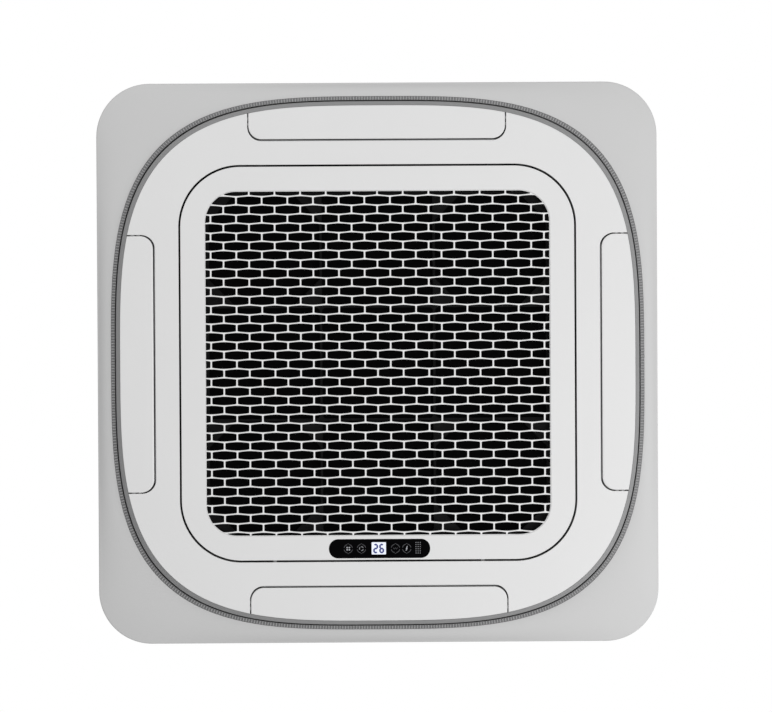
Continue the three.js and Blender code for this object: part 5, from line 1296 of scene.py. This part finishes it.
def flare_nut(x0, x1, y, z, bore, apothem):
    """Six-sided nut along X with chamfered ends."""
    bm = bmesh.new()
    loops = []
    flat = apothem * NUT_FACE
    for x, limit in ((x0, bore), (x0, flat), (x0 + NUT_CHAMFER, None), (x1 - NUT_CHAMFER, None), (x1, flat),
                     (x1, bore)):
        loop = []
        for k in range(NUT_SIDES):
            angle = 2 * math.pi * k / NUT_SIDES
            hexagon = apothem / math.cos((angle % (math.pi / 3)) - math.pi / 6)
            reach = limit or min(apothem * NUT_POINT, hexagon)
            loop.append(bm.verts.new((x, y + reach * math.cos(angle), z + reach * math.sin(angle))))
        loops.append(loop)
    return bridged(bm, loops, closed=True)


copper = drawn_metal("drawn_copper", (0.62, 0.30, 0.17), 0.34)
brass = drawn_metal("turned_brass", (0.66, 0.50, 0.22), 0.3, 700)
for label in ("gas", "liquid"):
    low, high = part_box(f"{label}_pipe")
    radius = (high[2] - low[2]) / 2
    z = (high[2] + low[2]) / 2
    turn = bend(*[Vector((x, y, z)) for x, y in ((PIPE_X, PIPE_ROW_Y + PIPE_BEND), (PIPE_X, PIPE_ROW_Y),
                                                 (PIPE_X + PIPE_BEND, PIPE_ROW_Y))])
    pipe = bmesh.new()
    tube_into(pipe, [Vector((PIPE_X, PIPE_START_Y, z)), *turn, Vector((high[0], PIPE_ROW_Y, z))], radius,
              radius * PIPE_BORE)
    made(f"{label}_pipe_drawn", pipe, copper, stands_for=[f"{label}_pipe"])
    low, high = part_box(f"{label}_flare_nut")
    nut = flare_nut(low[0], high[0], PIPE_ROW_Y, z, radius + NUT_GAP, radius + NUT_SEAT + NUT_WALL)
    made(f"{label}_nut_turned", nut, brass, stands_for=[f"{label}_flare_nut"])

# --------------------------------------------------------------------
# Pump corner
# The condensate pump with its float switch, and the grey drain hose that rises from it and leaves through
# the wall of the casing.
HOSE_X = 0.306
LINING_Y = -0.3972  # inner face of the foam lining
HOSE_BORE = 0.8  # of the outer radius
HOSE_BORE_DEPTH = 0.03

hose_low, hose_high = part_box("drain_hose")
hose_radius = hose_high[0] - HOSE_X
foot_y = hose_high[1]
foot_z = hose_low[2] + hose_radius
head_z = hose_high[2] - hose_radius
rise_y = (foot_y + LINING_Y) / 2
turn_radius = abs(rise_y - foot_y)
hose_path = []
for points in (((foot_y, foot_z), (rise_y, foot_z), (rise_y, foot_z + turn_radius)),
               ((rise_y, head_z - turn_radius), (rise_y, head_z), (rise_y - turn_radius, head_z))):
    hose_path += bend(*[Vector((HOSE_X, y, z)) for y, z in points])
hose_path.append(Vector((HOSE_X, hose_low[1], head_z)))
hose = bmesh.new()
tube_into(hose, hose_path, hose_radius, hose_radius * HOSE_BORE, HOSE_BORE_DEPTH)
hose_finish = plastic("soft_pvc", (0.36, 0.365, 0.37), roughness=0.4, mottle=0.05)
made("drain_hose_soft", hose, hose_finish, stands_for=["drain_hose"])
finished(white_finish, "drain_pump")
finished(black_finish, "float_stem")
finished(grey_finish, "pump_impeller", "float_ring")

# --------------------------------------------------------------------
# Bellmouth
# A square black plate in the opening of the drain pan whose middle curves up into the throat of the fan.
BELL_LIP = 0.196
THROAT = 0.165
BELL_CORNER = 0.0527
BELL_STEPS = 14


def flare_profile(lip, lip_z, throat, throat_z):
    """Radius and height along a quarter curve, from a flat lip to an upright throat."""
    profile = []
    for step in range(BELL_STEPS + 1):
        t = step / BELL_STEPS
        profile.append((lip * (1 - t) ** 2 + throat * (1 - (1 - t) ** 2),
                        lip_z * (1 - t ** 2) + throat_z * t ** 2))
    return profile


bell_low, bell_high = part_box("bellmouth")
bell_half = bell_high[0]
bell_loops = [polar_loop(bell_half, bell_low[2], BELL_CORNER)]
lower_curve = flare_profile(BELL_LIP, bell_low[2], THROAT, bell_high[2])
upper_curve = flare_profile(BELL_LIP + WALL, bell_low[2] + WALL, THROAT + WALL, bell_high[2])[::-1]
bell_loops += [polar_loop(radius, z, radius) for radius, z in lower_curve + upper_curve]
bell_loops.append(polar_loop(bell_half, bell_low[2] + WALL, BELL_CORNER))
bell_finish = plastic("bellmouth_abs", (0.020, 0.0205, 0.021), roughness=0.42, mottle=0.08)
made("bellmouth_moulding", lofted(bell_loops), bell_finish, stands_for=["bellmouth"])

# --------------------------------------------------------------------
# Fan
# The turbo fan in one grey moulding: a back plate with a cone round the motor, seven backward-curved blades
# and the shroud that takes the air from the bellmouth.
FAN_SIDES = 168
FAN_BLADES = 7
FAN_RADIUS = 0.238
FAN_SKIN = 0.003
FAN_INLET = 0.172
SHROUD_HEIGHT = 0.040
BLADE_ROOT = 0.148
BLADE_ROOT_LIFT = 0.046
BLADE_SWEEP = 48
BLADE_BEND = 0.9  # power of the radius that the trailing angle follows
BLADE_THICKNESS = 0.005
BLADE_TAPER = 0.6
BLADE_STEPS = 30
BLADE_TIP_GAP = 0.002
BLADE_END_ROUND = 1.5  # steps over which an end is rounded
BLADE_MEETING = 0.016  # from the inlet to where a blade's lower edge meets the shroud
HUB_CONE = 0.060
HUB_FLARE = 0.030
HUB_DEPTH = 0.052
BOSS_RADIUS = 0.017
BOSS_HEIGHT = 0.008
SHAFT_HOLE = 0.0063

fan_low, fan_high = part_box("fan_wheel")
fan_z = fan_low[2]
fan_top = fan_high[2]
hub_z = fan_top - HUB_DEPTH
shroud_rim = fan_z + SHROUD_HEIGHT


def lathe(bm, section, sides=FAN_SIDES):
    """A closed section of radius and height, turned round Z; the ends of an open one lie on the axis."""
    loops = []
    for radius, z in section:
        if radius == 0:
            loops.append([bm.verts.new((0, 0, z))] * sides)
            continue
        loops.append([bm.verts.new((radius * math.cos(2 * math.pi * i / sides),
                                    radius * math.sin(2 * math.pi * i / sides), z)) for i in range(sides)])
    faces = []
    for loop, following in zip(loops, loops[1:] + loops[:1]):
        if loop[0] is loop[1] and following[0] is following[1]:
            continue
        for i in range(sides):
            corners = dict.fromkeys((loop[i - 1], loop[i], following[i], following[i - 1]))
            faces.append(bm.faces.new(list(corners)))
    bmesh.ops.recalc_face_normals(bm, faces=faces)
    return bm


def blade_floor(radius):
    """Height of the middle of the shroud's skin at a radius, or of the slanting lower corner inside it."""
    curve = flare_profile(FAN_RADIUS, shroud_rim - FAN_SKIN / 2, FAN_INLET + FAN_SKIN / 2, fan_z)[::-1]
    meeting = next(point for point in curve if point[0] > FAN_INLET + BLADE_MEETING)
    if radius < meeting[0]:
        share = (radius - BLADE_ROOT) / (meeting[0] - BLADE_ROOT)
        return (fan_z + BLADE_ROOT_LIFT) * (1 - share) + meeting[1] * share
    for near, far in zip(curve, curve[1:]):
        if near[0] <= radius <= far[0]:
            share = (radius - near[0]) / (far[0] - near[0])
            return near[1] + (far[1] - near[1]) * share
    return curve[-1][1]


def fan_blade():
    """One blade: a curved strip with round ends that tapers towards its tip."""
    bm = bmesh.new()
    stations = []
    for step in range(BLADE_STEPS + 1):
        t = step / BLADE_STEPS
        radius = BLADE_ROOT + (FAN_RADIUS - BLADE_TIP_GAP - BLADE_ROOT) * t
        angle = -math.radians(BLADE_SWEEP) * t ** BLADE_BEND
        thickness = BLADE_THICKNESS * (1 - BLADE_TAPER * t)
        rounded = min(1, math.sqrt(max(0.02, min(t, 1 - t) * BLADE_STEPS / BLADE_END_ROUND)))
        turn = thickness / 2 * rounded / radius
        low, high = blade_floor(radius), fan_top - FAN_SKIN / 2
        stations.append([bm.verts.new((radius * math.cos(angle + way), radius * math.sin(angle + way), z))
                         for z, way in ((low, -turn), (low, turn), (high, turn), (high, -turn))])
    return mesh_from(bridged(bm, stations), "blade")


def copies_round_axis():
    tree, given, keys = tree_with("copies_round_an_axis", {
        "Thing": "Object", "Copies": "Int", "Step": "Float", "Finish": "Material"})
    points = node(tree, "GeometryNodePoints", {"Count": given["Copies"]})
    turn = calc(tree, "MULTIPLY", node(tree, "GeometryNodeInputIndex"), given["Step"])
    heading = node(tree, "ShaderNodeCombineXYZ", {"Z": turn})
    ended(tree, instanced(tree, points, given["Thing"], Rotation=heading), given["Finish"])
    return tree, keys


fan_finish = plastic("fan_abs", (0.17, 0.175, 0.18), roughness=0.45, mottle=0.05)
cone_top = HUB_CONE + HUB_FLARE
wheel = lathe(bmesh.new(), [
    (SHAFT_HOLE, hub_z - BOSS_HEIGHT), (BOSS_RADIUS - 0.002, hub_z - BOSS_HEIGHT), (BOSS_RADIUS, hub_z),
    (HUB_CONE - 0.003, hub_z), (HUB_CONE + FAN_SKIN * 0.7, hub_z + FAN_SKIN * 0.8),
    (cone_top + FAN_SKIN, fan_top - FAN_SKIN - 0.002), (cone_top + FAN_SKIN + 0.003, fan_top - FAN_SKIN),
    (FAN_RADIUS, fan_top - FAN_SKIN), (FAN_RADIUS, fan_top), (cone_top, fan_top),
    (HUB_CONE, hub_z + FAN_SKIN + 0.001), (HUB_CONE - 0.001, hub_z + FAN_SKIN),
    (SHAFT_HOLE, hub_z + FAN_SKIN),
])
shroud_in = flare_profile(FAN_RADIUS, shroud_rim, FAN_INLET, fan_z)
shroud_out = flare_profile(FAN_RADIUS, shroud_rim - FAN_SKIN, FAN_INLET + FAN_SKIN, fan_z)[::-1]
lathe(wheel, shroud_in + shroud_out)
made("fan_discs", wheel, fan_finish, "fan", stands_for=["fan_wheel"])
blades = grown("fan_blades", bpy.data.meshes.new("nothing"), *copies_round_axis(), {
    "Thing": fan_blade(), "Copies": FAN_BLADES, "Step": 2 * math.pi / FAN_BLADES, "Finish": fan_finish})
placed("fan_blades", blades, "fan")

# --------------------------------------------------------------------
# Fan motor
# A black enamelled drum under the top cover, with the bright shaft and nut that hold the fan.
MOTOR_RADIUS = 0.056
MOTOR_FLANGE = 0.004
MOTOR_FLANGE_RADIUS = 0.072
MOTOR_BEVEL = 0.008
MOTOR_CREASE = 0.003
MOTOR_FOOT = 0.006
MOTOR_FOOT_CIRCLE = 0.064
MOTOR_FOOT_ROOT = 0.001
MOTOR_ABOVE_FAN = 0.009
MOTOR_SIDES = 96

motor_low, motor_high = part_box("fan_motor")
motor_front = motor_low[2]
motor_top = fan_top + MOTOR_ABOVE_FAN
rim_z = motor_top - MOTOR_FLANGE
drum = lathe(bmesh.new(), [
    (0, motor_top), (MOTOR_FLANGE_RADIUS, motor_top), (MOTOR_FLANGE_RADIUS, rim_z), (MOTOR_RADIUS, rim_z),
    (MOTOR_RADIUS, motor_front + MOTOR_BEVEL), (MOTOR_RADIUS - MOTOR_CREASE, motor_front + MOTOR_CREASE),
    (MOTOR_RADIUS - MOTOR_BEVEL, motor_front), (SHAFT_HOLE, motor_front),
    (SHAFT_HOLE, motor_top - MOTOR_BEVEL), (0, motor_top - MOTOR_BEVEL),
], MOTOR_SIDES)
for foot in arc(0, 0, MOTOR_FOOT_CIRCLE, 45, 315, 3):
    bar_into(drum, foot, MOTOR_FOOT, motor_top - MOTOR_FOOT_ROOT, motor_high[2])
enamel = plastic("black_enamel", (0.02, 0.021, 0.022), roughness=0.35, mottle=0.06)
made("fan_motor_drum", drum, enamel, stands_for=["fan_motor"])
finished(drawn_metal("turned_steel", (0.56, 0.57, 0.58), 0.3, 900), "fan_shaft", "fan_hub_nut")

# --------------------------------------------------------------------
# Circuit boards
# Green laminate with dark parts soldered to it: the display board behind the gloss cover and the main board
# in its box.
BOARD = 0.0016
BOARD_SLACK = 0.0001
PARTS_ABOVE = 0.004  # height of the parts on the main board


def populated_board(name, low):
    """Laminate from a height up, dark parts above and below it."""
    material = plastic(name, (0.02, 0.16, 0.08), roughness=0.4, mottle=0.1)
    tree = material.node_tree
    laminate = tree.nodes["Principled BSDF"].inputs["Base Color"].links[0].from_socket
    place = tree.nodes["Texture Coordinate"].outputs["Object"]
    height = node(tree, "ShaderNodeSeparateXYZ", {"Vector": place})
    within = calc(tree, "COMPARE", height.outputs["Z"], low + BOARD / 2, BOARD / 2 + BOARD_SLACK)
    either = node(tree, "ShaderNodeMix", {"A": (0.03, 0.03, 0.032, 1), "B": laminate, "Factor": within},
                  data_type="RGBA")
    feed(tree, tree.nodes["Principled BSDF"], {"Base Color": either.outputs["Result"]})
    return material


main_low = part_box("main_circuit_board")[1][2] - PARTS_ABOVE - BOARD
finished(populated_board("main_board_laminate", main_low), "main_circuit_board")
display_board_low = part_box("display_board")[0][2]
finished(populated_board("display_board_laminate", display_board_low), "display_board")

# --------------------------------------------------------------------
# Size of the finished model
# The box round every shown object but the floor.
low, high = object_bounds()
